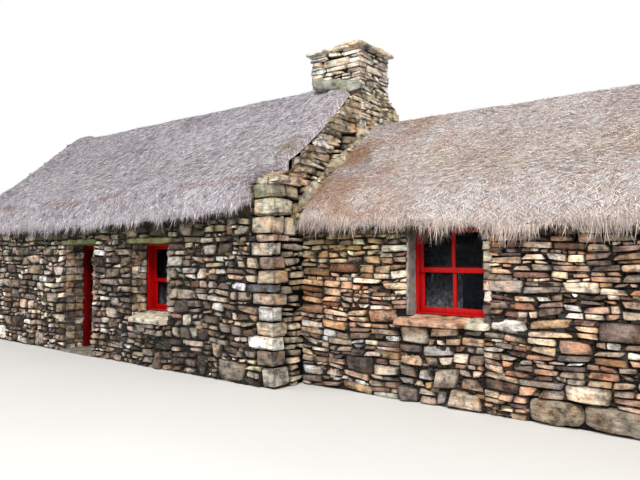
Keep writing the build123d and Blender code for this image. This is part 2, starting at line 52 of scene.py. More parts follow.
scene.view_settings.view_transform = "Standard"
print("measured pieces:", len(nodes))


def corners(node):
    """Lowest and highest corner of a measured piece as two numpy arrays."""
    low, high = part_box(node)
    return np.array(low), np.array(high)


# %% [markdown]
# ## Camera
# The photograph was taken at eye height, close to the byre, looking along the front to the left.
# The lens and the stand point come from fitting a pinhole camera to the straight lines of the walls,
# so the picture of this model overlays the real one. The stand point is counted from the corner
# where the front of the house meets the gable between the two roofs.

# %% Camera
house_front = corners("mid_gable")[0][1]
gable_east = corners("mid_gable")[1][0]
FRAME_WIDTH = 640
FOCAL_PIXELS = 604.3
SENSOR = 36.0
TURN_LEFT, TILT_UP = math.radians(38.0), math.radians(1.36)
STAND_RIGHT, STAND_BEFORE, EYE_HEIGHT = 4.792, 5.252, 1.591

camera_data = bpy.data.cameras.new("eye_level")
camera_data.sensor_width = SENSOR
camera_data.lens = SENSOR * FOCAL_PIXELS / FRAME_WIDTH
camera = bpy.data.objects.new("eye_level", camera_data)
scene.collection.objects.link(camera)
camera.location = (gable_east + STAND_RIGHT, house_front - STAND_BEFORE, EYE_HEIGHT)
camera.rotation_euler = (math.pi / 2 + TILT_UP, 0.0, TURN_LEFT)
scene.camera = camera
print("camera at", [round(c, 3) for c in camera.location], "lens", round(camera_data.lens, 2))

# %% [markdown]
# ## Soft noise
# Nothing on this building is straight: beds of stone wander, thatch is lumpy, boards cup. All of it
# comes from one repeatable noise. Every corner of a lattice gets a fixed number from its own
# indices, and a point takes a smooth blend of the eight corners round it. Blender has its own noise
# textures, but this one works on whole numpy arrays and never changes between runs.

# %% Lattice noise
def corner_value(ix, iy, iz, seed):
    """Mixes three whole numbers and a seed into a value from -1 to 1, the same on every run."""
    mask = np.int64(0xFFFFFFFF)
    n = (ix * 374761393 + iy * 668265263 + iz * 1274126177 + seed * 974634777) & mask
    n = ((n ^ (n >> 13)) * 1274126177) & mask
    n = ((n ^ (n >> 16)) * 668265263) & mask
    return ((n >> 8) & 0xFFFF) / 32767.5 - 1.0


def soft_noise(points, cell, seed=0):
    """Blend of the lattice values round each point, eased with 3t^2 - 2t^3 along each axis."""
    q = np.asarray(points, float) / cell
    base = np.floor(q).astype(np.int64)
    part = q - base
    part = part * part * (3 - 2 * part)
    sides = (1 - part, part)
    total = 0.0
    for x, y, z in np.ndindex(2, 2, 2):
        weight = sides[x][..., 0] * sides[y][..., 1] * sides[z][..., 2]
        total = total + weight * corner_value(base[..., 0] + x, base[..., 1] + y, base[..., 2] + z, seed)
    return total


def flat_noise(u, v, cell, seed=0):
    """Soft noise over a flat sheet of u and v."""
    points = np.stack(np.broadcast_arrays(u, v, np.zeros(1)), axis=-1)
    return soft_noise(points, cell, seed)


print("noise sample:", np.round(flat_noise(np.arange(3.0), np.arange(3.0), 0.7, 5), 3))


# %% [markdown]
# ## From arrays to pieces
# A mesh is a list of points and a list of faces. foreach_set copies whole arrays into Blender in one
# go, which is hundreds of times faster than adding stones one by one. Each point can carry a colour,
# so that every stone or straw has its own shade while all share one material.

# %% Mesh maker
def make_piece(name, mesh_set, material, stands_for=(), sharp=None, body="cottage"):
    """Makes a mesh object at the origin from (points, faces, colours) and lets it ride on a body.

    It stands for the measured pieces named. Edges sharper than sharp degrees
    stay crisp. Points below the ground are lifted to it: z = max(z, 0).
    """
    points, faces, colours = mesh_set
    points = np.array(points, np.float32)
    points[:, 2] = np.maximum(points[:, 2], 0.0)
    faces = np.ascontiguousarray(faces, np.int32)
    sides = faces.shape[1]
    mesh = bpy.data.meshes.new(name)
    mesh.vertices.add(len(points))
    mesh.vertices.foreach_set("co", points.ravel())
    mesh.loops.add(faces.size)
    mesh.loops.foreach_set("vertex_index", faces.ravel())
    mesh.polygons.add(len(faces))
    mesh.polygons.foreach_set("loop_start", np.arange(len(faces), dtype=np.int32) * sides)
    mesh.polygons.foreach_set("use_smooth", np.ones(len(faces), bool))
    mesh.materials.append(material)
    mesh.update(calc_edges=True)
    if colours is not None:
        layer = mesh.color_attributes.new("shade", "FLOAT_COLOR", "POINT")
        layer.data.foreach_set("color", np.ascontiguousarray(colours, np.float32).ravel())
    if sharp is not None:
        mesh.set_sharp_from_angle(angle=math.radians(sharp))
    piece = bpy.data.objects.new(name, mesh)
    scene.collection.objects.link(piece)
    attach(piece, body)
    if stands_for:
        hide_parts(*stands_for)
    print(f"{name}: {len(points)} points, {len(faces) * (sides - 2)} triangles")
    return piece


def merged(*parts):
    """Joins several (points, faces, colours) sets into one, shifting the face numbers of each."""
    points, faces, colours = zip(*parts)
    starts = np.cumsum([0, *map(len, points)])
    return (np.concatenate(points), np.concatenate([f + start for f, start in zip(faces, starts)]),
            np.concatenate(colours))


def grid_faces(rows, columns):
    """Quads between the neighbours of a grid of points."""
    index = np.arange(rows * columns).reshape(rows, columns)
    return np.stack([index[:-1, :-1], index[:-1, 1:], index[1:, 1:], index[1:, :-1]], -1).reshape(-1, 4)


def repeated(faces, copies, size):
    """The faces of one shape for many copies of it, whose points follow each other, size points each."""
    return (faces[None] + (np.arange(copies) * size)[:, None, None]).reshape(-1, 4)


def shaded(shades, alpha=1.0):
    """Colours with their alpha, which says how much light reaches the point, as rows of four."""
    alpha = np.broadcast_to(alpha, shades.shape[:-1])[..., None]
    return np.concatenate([shades, alpha], -1).reshape(-1, 4)


# %% [markdown]
# ## Colours
# Colours are written as they look on a screen, from 0 to 255, and turned into the linear values that
# Blender's shaders work in. Each kind of stone has a palette. A stone blends two of its colours, and
# a random factor makes it lighter or darker, which is why no two neighbours look the same.

# %% Stone colours
def screen(*rgb):
    """Screen colours, one or a row of several, to linear: c / 12.92 near black, else ((c + 0.055) / 1.055)^2.4."""
    c = np.array(rgb, float) / 255
    return np.where(c <= 0.04045, c / 12.92, ((c + 0.055) / 1.055) ** 2.4)


HOUSE_STONES = screen(
    (176, 160, 142), (150, 134, 116), (130, 120, 110), (200, 186, 164), (108, 94, 82), (158, 150, 144),
    (136, 122, 110), (212, 202, 186), (118, 106, 104), (186, 152, 124), (168, 150, 138), (146, 130, 126))
BYRE_STONES = screen(
    (208, 180, 160), (188, 152, 128), (160, 120, 102), (222, 204, 184), (136, 120, 112), (172, 170, 170),
    (198, 170, 158), (228, 212, 194), (128, 94, 84), (184, 174, 162), (196, 160, 118), (112, 98, 98))
CHIMNEY_STONES = screen((230, 220, 206), (214, 204, 190), (240, 235, 224), (188, 180, 168), (220, 208, 190),
                        (166, 158, 150), (214, 196, 172))
GABLE_STONES = screen((206, 190, 168), (188, 170, 150), (218, 206, 188), (168, 154, 138), (192, 164, 134),
                      (152, 144, 132), (226, 216, 200), (134, 124, 112))
print("palettes:", len(HOUSE_STONES), len(BYRE_STONES), len(CHIMNEY_STONES), len(GABLE_STONES))


def stone_shades(rng, count, palette, spread=0.2):
    """One colour per stone: two palette entries blended, times a log-normal factor; the palest lose colour."""
    pick = palette[rng.integers(0, len(palette), count)]
    mate = palette[rng.integers(0, len(palette), count)]
    blend = rng.uniform(0, 0.45, (count, 1))
    bright = np.clip(np.exp(rng.normal(0, spread, (count, 1))), 0.17, 1.75)
    shade = (pick * (1 - blend) + mate * blend) * bright
    grey = shade.mean(1, keepdims=True) * np.array([1.06, 1.0, 0.9])
    pale = np.clip((bright - 1) * 0.9, 0, 1)
    return np.clip(shade * (1 - pale) + grey * pale, 0.01, 0.72)


# %% [markdown]
# ## Building materials from nodes
# A Blender material is a network of nodes. These helpers each add one node and hand back its output,
# so that a material below reads like a sentence. All patterns read Object coordinates, so they stay
# in place on the building and do not depend on how a piece was unwrapped.

# %% Node helpers
def join(tree, source, target):
    """Links one socket to another, or writes a plain number or colour into the target."""
    if isinstance(source, bpy.types.NodeSocket):
        tree.links.new(source, target)
    else:
        target.default_value = source


def maths(tree, operation, a, b):
    """One Math node: operation on a and b."""
    node = tree.nodes.new("ShaderNodeMath")
    node.operation = operation
    join(tree, a, node.inputs[0])
    join(tree, b, node.inputs[1])
    return node.outputs[0]


def blend_colours(tree, share, a, b, kind="MIX"):
    """One colour Mix node: a and b by share."""
    node = tree.nodes.new("ShaderNodeMix")
    node.data_type = "RGBA"
    node.blend_type = kind
    join(tree, share, node.inputs[0])
    join(tree, a, node.inputs[6])
    join(tree, b, node.inputs[7])
    return node.outputs[2]


def ramp(tree, value, low, high, to_low=0.0, to_high=1.0):
    """Map Range node: low..high becomes to_low..to_high, held at both ends."""
    node = tree.nodes.new("ShaderNodeMapRange")
    node.interpolation_type = "SMOOTHSTEP"
    join(tree, value, node.inputs[0])
    for index, number in enumerate((low, high, to_low, to_high), start=1):
        join(tree, number, node.inputs[index])
    return node.outputs[0]


def noise(tree, scale, detail=3.0, rough=0.6, stretch=None):
    """Noise texture in Object space; stretch multiplies the place along each axis first."""
    place = tree.nodes.new("ShaderNodeTexCoord").outputs["Object"]
    if stretch is not None:
        mapping = tree.nodes.new("ShaderNodeMapping")
        mapping.inputs["Scale"].default_value = stretch
        tree.links.new(place, mapping.inputs["Vector"])
        place = mapping.outputs[0]
    node = tree.nodes.new("ShaderNodeTexNoise")
    tree.links.new(place, node.inputs["Vector"])
    for label, value in (("Scale", scale), ("Detail", detail), ("Roughness", rough)):
        node.inputs[label].default_value = value
    return node.outputs["Fac"]


def mesh_shade(tree):
    """The colour and the alpha that the points of the mesh carry."""
    node = tree.nodes.new("ShaderNodeAttribute")
    node.attribute_name = "shade"
    return node.outputs["Color"], node.outputs["Alpha"]


def new_material(name):
    """New material with an empty Principled BSDF; returns (material, its node tree)."""
    material = bpy.data.materials.new(name)
    material.use_nodes = True
    return material, material.node_tree


def feed(tree, sockets, height=None, distance=0.0):
    """Feeds the shader's sockets from nodes or plain numbers, and its Normal from a bump distance deep."""
    shader = tree.nodes["Principled BSDF"]
    for label, source in sockets.items():
        join(tree, source, shader.inputs[label])
    if height is not None:
        bump = tree.nodes.new("ShaderNodeBump")
        bump.inputs["Distance"].default_value = distance
        tree.links.new(height, bump.inputs["Height"])
        tree.links.new(bump.outputs[0], shader.inputs["Normal"])


# %% [markdown]
# ## Weathering
# Stone and mortar age in the same few ways: mottling, rust, thin beds, grain, pale lichen and green
# damp. One node group holds them all and each material sets its own amounts, so a change here
# reaches every stone. The alpha of the mesh darkens the joints, where little daylight gets in.

# %% Weathering group
def build_weathering_and_shade():
    """Each layer is a noise held between two levels, times its amount; it tints or covers the colour below."""
    tree = bpy.data.node_groups.new("weathering_and_shade", "ShaderNodeTree")
    new_socket = tree.interface.new_socket
    new_socket(name="Colour", in_out="INPUT", socket_type="NodeSocketColor")
    for label in ("Mottle", "Beds", "Lichen", "Damp", "Shade"):
        new_socket(name=label, in_out="INPUT", socket_type="NodeSocketFloat").default_value = 1.0
    for label, kind in (("Colour", "Color"), ("Roughness", "Float"), ("Height", "Float")):
        new_socket(name=label, in_out="OUTPUT", socket_type="NodeSocket" + kind)
    given = tree.nodes.new("NodeGroupInput").outputs
    result = tree.nodes.new("NodeGroupOutput").inputs
    blotch = noise(tree, 9.0, 4.0, 0.6)
    beds = noise(tree, 6.0, 5.0, 0.7, stretch=(1.0, 1.0, 4.5))
    stain = noise(tree, 5.5, 3.0, 0.55)
    grain = noise(tree, 70.0, 4.0, 0.75)
    patch = noise(tree, 17.0, 5.0, 0.72)
    wet = noise(tree, 2.3, 3.0, 0.55)
    colour = given["Colour"]
    for pattern, low, high, at_low, at_high, amount, tint, kind in (
            (blotch, 0.35, 0.7, 0.0, 1.0, given["Mottle"], (2.2, 2.1, 1.95), "MULTIPLY"),
            (blotch, 0.48, 0.33, 0.0, 1.0, given["Mottle"], (0.45, 0.43, 0.42), "MULTIPLY"),
            (stain, 0.46, 0.68, 0.0, 0.8, given["Mottle"], (1.12, 0.84, 0.62), "MULTIPLY"),
            (beds, 0.40, 0.56, 1.0, 0.0, given["Beds"], (0.42, 0.39, 0.37), "MULTIPLY"),
            (grain, 0.38, 0.5, 1.0, 0.0, 0.65, (0.42, 0.4, 0.38), "MULTIPLY"),
            (patch, 0.56, 0.66, 0.0, 1.0, given["Lichen"], screen(186, 182, 166), "MIX"),
            (wet, 0.48, 0.66, 0.0, 1.0, given["Damp"], (0.42, 0.46, 0.26), "MULTIPLY")):
        share = maths(tree, "MULTIPLY", ramp(tree, pattern, low, high, at_low, at_high), amount)
        colour = blend_colours(tree, share, colour, (*tint, 1), kind)
    # Painted shade: the Shade input, the mesh's alpha, pulls the colour towards black at joints and rims.
    colour = blend_colours(tree, given["Shade"], (0.012, 0.010, 0.008, 1), colour)
    height = maths(tree, "ADD", maths(tree, "MULTIPLY", beds, 0.8), maths(tree, "MULTIPLY", grain, 0.4))
    height = maths(tree, "ADD", height, maths(tree, "MULTIPLY", patch, 0.9))
    tree.links.new(colour, result["Colour"])
    tree.links.new(ramp(tree, patch, 0.3, 0.7, 0.8, 0.96), result["Roughness"])
    tree.links.new(height, result["Height"])
    return tree


weathering_and_shade = build_weathering_and_shade()
print("weathering group:", len(weathering_and_shade.nodes), "nodes")

# %% [markdown]
# ## Stone finishes
# The wall stones take their colour from the mesh, a shade for every stone; mortar, flags and the
# limewashed inside have one fixed colour. Separate textures for every kind of stone would be truer
# close up, but one recipe with its own amounts keeps the whole building of one family.

# %% Stone materials
def stone_material(name, mottle, beds, lichen, damp, bump, fixed=None):
    """Stone that takes its colour and, from the alpha, its painted shade from the mesh, or one fixed colour without
    shade, and weathers it.
    """
    material, tree = new_material(name)
    weather_and_shade = tree.nodes.new("ShaderNodeGroup")
    weather_and_shade.node_tree = weathering_and_shade
    if fixed is None:
        for source, label in zip(mesh_shade(tree), ("Colour", "Shade")):
            tree.links.new(source, weather_and_shade.inputs[label])
    else:
        weather_and_shade.inputs["Colour"].default_value = (*fixed, 1)
    for label, value in (("Mottle", mottle), ("Beds", beds), ("Lichen", lichen), ("Damp", damp)):
        weather_and_shade.inputs[label].default_value = value
    feed(tree, {"Base Color": weather_and_shade.outputs["Colour"], "Roughness": weather_and_shade.outputs["Roughness"],
                "Specular IOR Level": 0.25}, weather_and_shade.outputs["Height"], bump)
    return material


house_stone = stone_material("house_stone", 1.0, 0.6, 0.45, 0.5, 0.045)
byre_stone = stone_material("byre_stone", 1.0, 0.65, 0.35, 0.25, 0.045)
chimney_stone = stone_material("chimney_stone", 0.8, 0.6, 0.25, 0.15, 0.035)
# Painted shade: the earth behind the stones is near black, for the shade deep in the joints.
earth_in_painted_shade = stone_material("earth_in_painted_shade", 0.4, 0.1, 0.0, 0.5, 0.02, fixed=screen(9, 7, 5))
inner_wall = stone_material("inner_wall", 0.6, 0.2, 0.2, 0.3, 0.03, fixed=screen(120, 112, 98))
flagstone = stone_material("flagstone", 0.6, 0.3, 0.3, 0.4, 0.01, fixed=screen(116, 114, 104))


# %% [markdown]
# ## Laying a rubble wall
# A mason who builds with flat-bedded field stone works in rough beds: a thick stone here, two or
# three thin ones there, each bed levelled up before the next, and a bed line wherever a sill or a
# lintel has to sit. The layout below does the same. A bed is cut into blocks, a block stays whole
# or is split into thin rows, and a row into stones. That leaves no overlaps and no holes, which a
# scatter of random polygons would.

# %% Bed lines
def bed_lines(rng, levels, course):
    """Heights of the beds: every level is kept, and the space between two is shared out unevenly."""
    lines = [levels[0]]
    for low, high in zip(levels[:-1], levels[1:]):
        count = max(1, round((high - low) / course))
        share = rng.uniform(0.7, 1.35, count)
        lines.extend(low + np.cumsum(share / share.sum()) * (high - low))
    return np.array(lines)


def shared_cuts(rng, low, high, count):
    """Uneven cuts of a length into count parts."""
    share = rng.uniform(0.55, 1.5, max(1, count))
    return low + np.concatenate([[0.0], np.cumsum(share / share.sum())]) * (high - low)

# %% [markdown]
# ## Stones in the beds
# The plan of a wall is a list of rectangles. Windows and doors are holes that a bed is cut at, and a
# corner stone takes up the first part of every bed, so the plan starts behind its toe. A stone that
# ends at a hole is marked, because its end stays straight there.

# %% Stones of a wall
def lay_stones(rng, beds, left, right, holes=(), length=0.36, thin=0.075, whole=0.25,
               left_toes=None, right_toes=None, slim=(2.0, 5.0)):
    """Rectangles (u0, u1, v0, v1, open_left, open_right) that fill a wall between its holes."""
    stones = []
    for k, (v0, v1) in enumerate(zip(beds[:-1], beds[1:])):
        start = left + (left_toes[k] if left_toes is not None else 0.0)
        stop = right - (right_toes[k] if right_toes is not None else 0.0)
        middle = (v0 + v1) / 2
        gaps = sorted((a, b) for a, b, c, d in holes if c < middle < d and b > start and a < stop)
        spans, edge, at_hole = [], start, 0
        for a, b in gaps:
            if a - edge > 0.02:
                spans.append((edge, a, at_hole, 1))
            edge, at_hole = max(edge, b), 1
        if stop - edge > 0.02:
            spans.append((edge, stop, at_hole, 0))
        for a, b, hole_left, hole_right in spans:
            blocks = shared_cuts(rng, a, b, round((b - a) / length))
            for i, (p, q) in enumerate(zip(blocks[:-1], blocks[1:])):
                keep_whole = rng.random() < whole or q - p < 0.13
                rows = 1 if keep_whole else max(1, round((v1 - v0) / thin * rng.uniform(0.75, 1.2)))
                row_cuts = shared_cuts(rng, v0, v1, rows)
                for c, d in zip(row_cuts[:-1], row_cuts[1:]):
                    aspect = rng.uniform(*slim)
                    cuts = shared_cuts(rng, p, q, round((q - p) / ((d - c) * aspect)))
                    for j, (m, n) in enumerate(zip(cuts[:-1], cuts[1:])):
                        first = i == 0 and j == 0
                        last = i == len(blocks) - 2 and j == len(cuts) - 2
                        stones.append((m, n, c, d, hole_left * first, hole_right * last))
    return np.array(stones)


# %% [markdown]
# ## The shape of one stone
# Seen from the front a stone is a four-cornered patch whose corners are knocked off. The grid below
# runs over that patch: its outline is a superellipse, the middle bulges or tips a little, and near
# the edge the surface falls back into the joint. A skirt carries the edge into the wall, so the
# joints are really deep; the skirt and the rim of the face are painted darker as shade. All stones
# of a wall are one array of shape (stones, points, 3).
# Separate objects for the stones would be simpler to read, but thousands of them are slow.

# %% Stone surface
S_LINES = np.array([-1.0, -0.89, -0.33, 0.33, 0.89, 1.0])
T_LINES = np.array([-1.0, -0.8, 0.0, 0.8, 1.0])


def stone_grid():
    """Grid of the stone's front, its faces, and the order of the points round its edge."""
    s, t = np.meshgrid(S_LINES, T_LINES)
    ns, nt = len(S_LINES), len(T_LINES)
    index = np.arange(ns * nt).reshape(nt, ns)
    rim = np.concatenate([index[0, :], index[1:, -1], index[-1, -2::-1], index[-2:0:-1, 0]])
    return s.ravel(), t.ravel(), grid_faces(nt, ns), rim


def stone_shapes(rng, corner_points, depth, shades, bulge=0.013, edge_fall=0.017):
    """Points, faces and colours of many stones.

    corner_points is (n, 4, 3) in (along, up, out), anticlockwise from the lower left corner. A point
    is the blend of the four corners at (s, t), pulled in to |s|^e + |t|^e = ring^e, and stands out by
    bulge (1 - ring^2) + a tilt + a blunt ridge + roughness - edge_fall near the rim.
    """
    n = len(corner_points)
    s, t, faces, rim = stone_grid()
    ring = np.maximum(np.abs(s), np.abs(t))
    power = rng.uniform(4.0, 13.0, (n, 1))
    norm = (np.abs(s) ** power + np.abs(t) ** power) ** (1 / power)
    pull = np.where(norm > 1e-6, ring / np.maximum(norm, 1e-6), 1.0)
    a, b = s * pull, t * pull
    weights = np.stack([(1 - a) * (1 - b), (1 + a) * (1 - b), (1 + a) * (1 + b), (1 - a) * (1 + b)], -1) / 4
    front = np.einsum("npk,nkc->npc", weights, corner_points)
    height = np.linalg.norm(corner_points[:, 3] - corner_points[:, 0], axis=1)[:, None]
    scale = np.clip(height / 0.1, 0.35, 1.6)
    rise = bulge * rng.uniform(0.2, 1.0, (n, 1)) * (1 - ring ** 2) * scale
    rise = rise + (a * rng.normal(0, 0.009, (n, 1)) + b * rng.normal(0, 0.008, (n, 1))) * scale
    turn = rng.uniform(0, np.pi, (n, 1))
    ridge_line = np.abs(a * np.cos(turn) + b * np.sin(turn) - rng.uniform(-0.5, 0.5, (n, 1)))
    rise = rise - ridge_line * rng.uniform(-0.009, 0.016, (n, 1)) * scale
    rise = rise + rng.normal(0, 0.0045, (n, len(s))) * scale
    near_rim = np.clip((ring - 0.86) / 0.14, 0, 1) ** 1.5
    rise = rise - edge_fall * near_rim * rng.uniform(0.5, 1.2, (n, 1)) * scale
    front[:, :, 2] += rise + rng.normal(0, 0.012, (n, 1))
    back = front[:, rim, :].copy()
    back[:, :, 2] = corner_points[:, :1, 2] - depth[:, None]
    around = len(s) + np.arange(len(rim))
    skirt = np.stack([rim, around, np.roll(around, -1), np.roll(rim, -1)], -1)
    points = np.concatenate([front, back], 1)
    size = points.shape[1]
    # Painted shade: the skirt gets alpha 0.12 and the face falls to 0.4 towards its rim, which darkens the joints.
    light = np.full((n, size), 0.12)
    light[:, :len(s)] = 0.4 + 0.6 * np.clip((1.0 - ring) / 0.16, 0, 1)
    return (points.reshape(-1, 3), repeated(np.concatenate([faces, skirt]), n, size),
            shaded(np.repeat(shades[:, None], size, 1), light))


print("points per stone:", len(S_LINES) * len(T_LINES), "plus its rim")


# %% [markdown]
# ## From a plan of stones to a wall face
# A face of the building is a flat frame: a corner, a direction along and a direction out, while up is
# always +Z. Each rectangle is shrunk by its joint, its corners are shaken inwards, the bed lines
# wander by a slow noise that dies out at openings, and under a gable the corners are cut to the slope.

# %% Wall face
def place_on(plane, points):
    """Turns (along, up, out) into world coordinates: origin + along u + (0, 0, 1) v + out w."""
    origin, along, out = np.array(plane, float)
    return origin + points[:, :1] * along + points[:, 1:2] * np.array([0, 0, 1.0]) + points[:, 2:3] * out


def wandering(rng, u, v, stones, wander, still):
    """Moves shared corners by noise of 55, 31 and 15 cm cells, and slants the upright joints a little.

    Within 22 cm of a rectangle in still the move dies out, so the edges of openings stay straight.
    """
    u0, u1, v0, v1, hole_left, hole_right = stones.T
    edge_u = np.stack([u0, u1, u1, u0], 1)
    middle_v = np.repeat(((v0 + v1) / 2)[:, None], 4, 1)
    key_u, key_v = (np.round(edge_u * 997).astype(np.int64), np.round(middle_v * 991).astype(np.int64))
    at_hole = np.stack([hole_left, hole_right, hole_right, hole_left], 1) > 0
    slant = corner_value(key_u, key_v, 3, 8) * 0.22 * (v1 - v0)[:, None] * np.array([-0.5, -0.5, 0.5, 0.5])
    free = np.ones_like(u)
    for a, b, c, d in still:
        away = np.hypot(np.maximum(np.maximum(a - u, u - b), 0), np.maximum(np.maximum(c - v, v - d), 0))
        free = np.minimum(free, np.clip(away / 0.22, 0, 1))
    seed = int(rng.integers(1, 10000))
    shift = wander * free * flat_noise(u, v, 0.55, seed) + wander * 0.45 * free * flat_noise(u, v, 0.15, seed + 2)
    u = u + wander * 0.8 * free * flat_noise(u, v, 0.31, seed + 1) + np.where(at_hole, 0.0, slant)
    return u, np.maximum(v + shift, 0.0)


def wall_face(rng, stones, plane, palette, joint=0.003, shake=(0.022, 0.015), wander=0.03, still=(),
              hole_depth=0.075, top_line=None, spread=0.2, tint=None, proud=0.0):
    """Stones of one wall face in world space: four corners each, drawn in by the joint and a random shake.

    A stone beside a hole reaches hole_depth in; top_line(u) cuts the stones off under a slope.
    """
    u0, u1, v0, v1, hole_left, hole_right = stones.T
    n = len(stones)
    give_u = np.minimum(shake[0], 0.14 * (u1 - u0))[:, None]
    give_v = np.minimum(shake[1], 0.13 * (v1 - v0))[:, None]
    in_u = joint + rng.uniform(0, 1, (n, 4)) ** 2 * give_u
    in_v = joint * 0.8 + rng.uniform(0, 1, (n, 4)) ** 2 * give_v
    knocked = rng.random((n, 4)) < 0.24
    in_u = np.where(knocked, in_u + np.minimum(0.035, 0.2 * (u1 - u0))[:, None], in_u)
    in_v = np.where(knocked, in_v + np.minimum(0.018, 0.22 * (v1 - v0))[:, None], in_v)
    in_u[:, [0, 3]] *= np.where(hole_left > 0, 0.25, 1.0)[:, None]
    in_u[:, [1, 2]] *= np.where(hole_right > 0, 0.25, 1.0)[:, None]
    u = np.stack([u0, u1, u1, u0], 1) + in_u * np.array([1, -1, -1, 1])
    v = np.stack([v0, v0, v1, v1], 1) + in_v * np.array([1, 1, -1, -1])
    u, v = wandering(rng, u, v, stones, wander, still)
    keep = np.ones(n, bool)
    if top_line is not None:
        limit = top_line(u)
        keep = v[:, 0:2].mean(1) < limit.mean(1) - 0.02
        v = np.minimum(v, limit)
        keep &= (v[:, 2:].mean(1) - v[:, :2].mean(1)) > 0.018
    shades = stone_shades(rng, n, palette, spread)
    if tint is not None:
        shades = shades * tint(u.mean(1), v.mean(1))
    depths = np.where((hole_left + hole_right) > 0, hole_depth, 0.075)
    corner_points = np.stack([u, v, np.full_like(u, proud)], -1)[keep]
    points, faces, colours = stone_shapes(rng, corner_points, depths[keep], shades[keep])
    return place_on(plane, points), faces, colours


# %% [markdown]
# ## Pinnings
# The gaps between rubble stones are wedged with chips. They are small and stand well back behind the
# face, so each is only a flat-topped wedge of five faces; most are painted near black as shade deep in
# the joint. Without them the joints would look into a smooth black wall.

# %% Pinnings in the joints
def pinnings(rng, beds, left, right, holes, plane, palette, *toes):
    """Wedges between an outer ring of four corners, 48 mm in, and a smaller one about 26 mm in."""
    plan = lay_stones(rng, beds, left, right, holes, 0.2, 0.042, 0.0, *toes, slim=(1.6, 4.0))
    u0, u1, v0, v1 = plan.T[:4]
    n = len(u0)
    u, v = np.stack([u0, u1, u1, u0], 1), np.stack([v0, v0, v1, v1], 1)
    middle_u, middle_v = u.mean(1, keepdims=True), v.mean(1, keepdims=True)
    outer = np.stack([u + (middle_u - u) * 0.05, v + (middle_v - v) * 0.08, np.full_like(u, -0.048)], -1)
    share = rng.uniform(0.12, 0.4, (n, 4))
    inner = np.stack([u + (middle_u - u) * share, v + (middle_v - v) * share,
                      np.repeat(rng.normal(-0.026, 0.006, (n, 1)), 4, 1) + rng.normal(0, 0.002, (n, 4))], -1)
    points = np.concatenate([outer, inner], 1)
    ring = np.arange(4)
    sides = np.stack([ring, np.roll(ring, -1), np.roll(ring, -1) + 4, ring + 4], 1)
    faces = repeated(np.concatenate([[[4, 5, 6, 7]], sides]), n, 8)
    # Painted shade: most chips keep only 0.07 of their colour and one in eleven keeps 0.6; their sides are darker than
    # their tops.
    shades = stone_shades(rng, n, palette, 0.4) * np.where(rng.random((n, 1)) < 0.09, 0.6, 0.07)
    return (place_on(plane, points.reshape(-1, 3)), faces,
            shaded(np.repeat(shades[:, None], 8, 1), [0.3] * 4 + [0.75] * 4))


# %% [markdown]
# ## The heart of a wall
# Behind the face stones a real wall is packed with small stone and earth. The measured wall itself
# serves as that heart: its outer planes are drawn in by a few centimetres, so the face stones stand
# in front of it and it shows only as the ground of the joints, in earth painted near black as shade.
# Its inner face stays where it is and gets the colour of an old limewashed room.

# %% Wall heart
def wall_heart(node, moves, room=(), drop=0.0):
    """Copy of a measured wall, sunk by drop, with some planes shifted: moves are (axis, plane, shift).

    room lists (axis, plane): triangles that lie on such a plane take the room finish.
    """
    mesh = nodes[node].data
    points = np.empty(len(mesh.vertices) * 3, np.float32)
    mesh.vertices.foreach_get("co", points)
    points = points.reshape(-1, 3).astype(float)
    mesh.calc_loop_triangles()
    triangles = np.empty(len(mesh.loop_triangles) * 3, np.int32)
    mesh.loop_triangles.foreach_get("vertices", triangles)
    triangles = triangles.reshape(-1, 3)
    inside = np.zeros(len(triangles), int)
    for axis, plane in room:
        inside |= (np.abs(points[triangles][:, :, axis] - plane) < 1e-3).all(1).astype(int)
    moved = points.copy()
    for axis, plane, shift in moves:
        moved[np.abs(points[:, axis] - plane) < 1e-3, axis] += shift
    return moved - np.array([0, 0, drop]), triangles, inside


def heart_piece(name, slot, *hearts):
    """One mesh from several hearts, in earth painted near black as shade outside and limewash inside."""
    points, triangles, inside = merged(*hearts)
    piece = make_piece(name, (points, triangles, None), earth_in_painted_shade)
    piece.data.materials.append(inner_wall)
    piece.data.polygons.foreach_set("material_index", inside.astype(np.int32))


# %% [markdown]
# ## Blocks
# Corner stones, coping stones, chimney flags and boulders are seen from several sides, so they are
# whole bodies: a cube whose sides are cut into a few squares, rounded to a superellipsoid and
# shaken. Fifty-four faces are enough, because the bump in the material does the rest.

# %% Block surface
def cube_grid(lines):
    """Points and quads of a cube from -1 to 1 whose sides are cut at the given lines."""
    a, b = np.meshgrid(np.array(lines, float), lines)
    quad = grid_faces(len(lines), len(lines))
    sides, faces = [], []
    for axis in range(3):
        for sign in (-1.0, 1.0):
            side = np.empty((a.size, 3))
            side[:, axis] = sign
            side[:, (axis + 1) % 3] = a.ravel()
            side[:, (axis + 2) % 3] = b.ravel()
            faces.append((quad if sign > 0 else quad[:, ::-1]) + len(sides) * a.size)
            sides.append(side)
    points, back = np.unique(np.round(np.concatenate(sides), 6), axis=0, return_inverse=True)
    return points, back.ravel()[np.concatenate(faces)]


BLOCK_CUTS = (-1, -0.8, 0.8, 1)
SPLIT_ROUND = (3.6, 8.0)  # exponents of split stone; the higher, the squarer
print("faces per block:", len(cube_grid(BLOCK_CUTS)[1]))


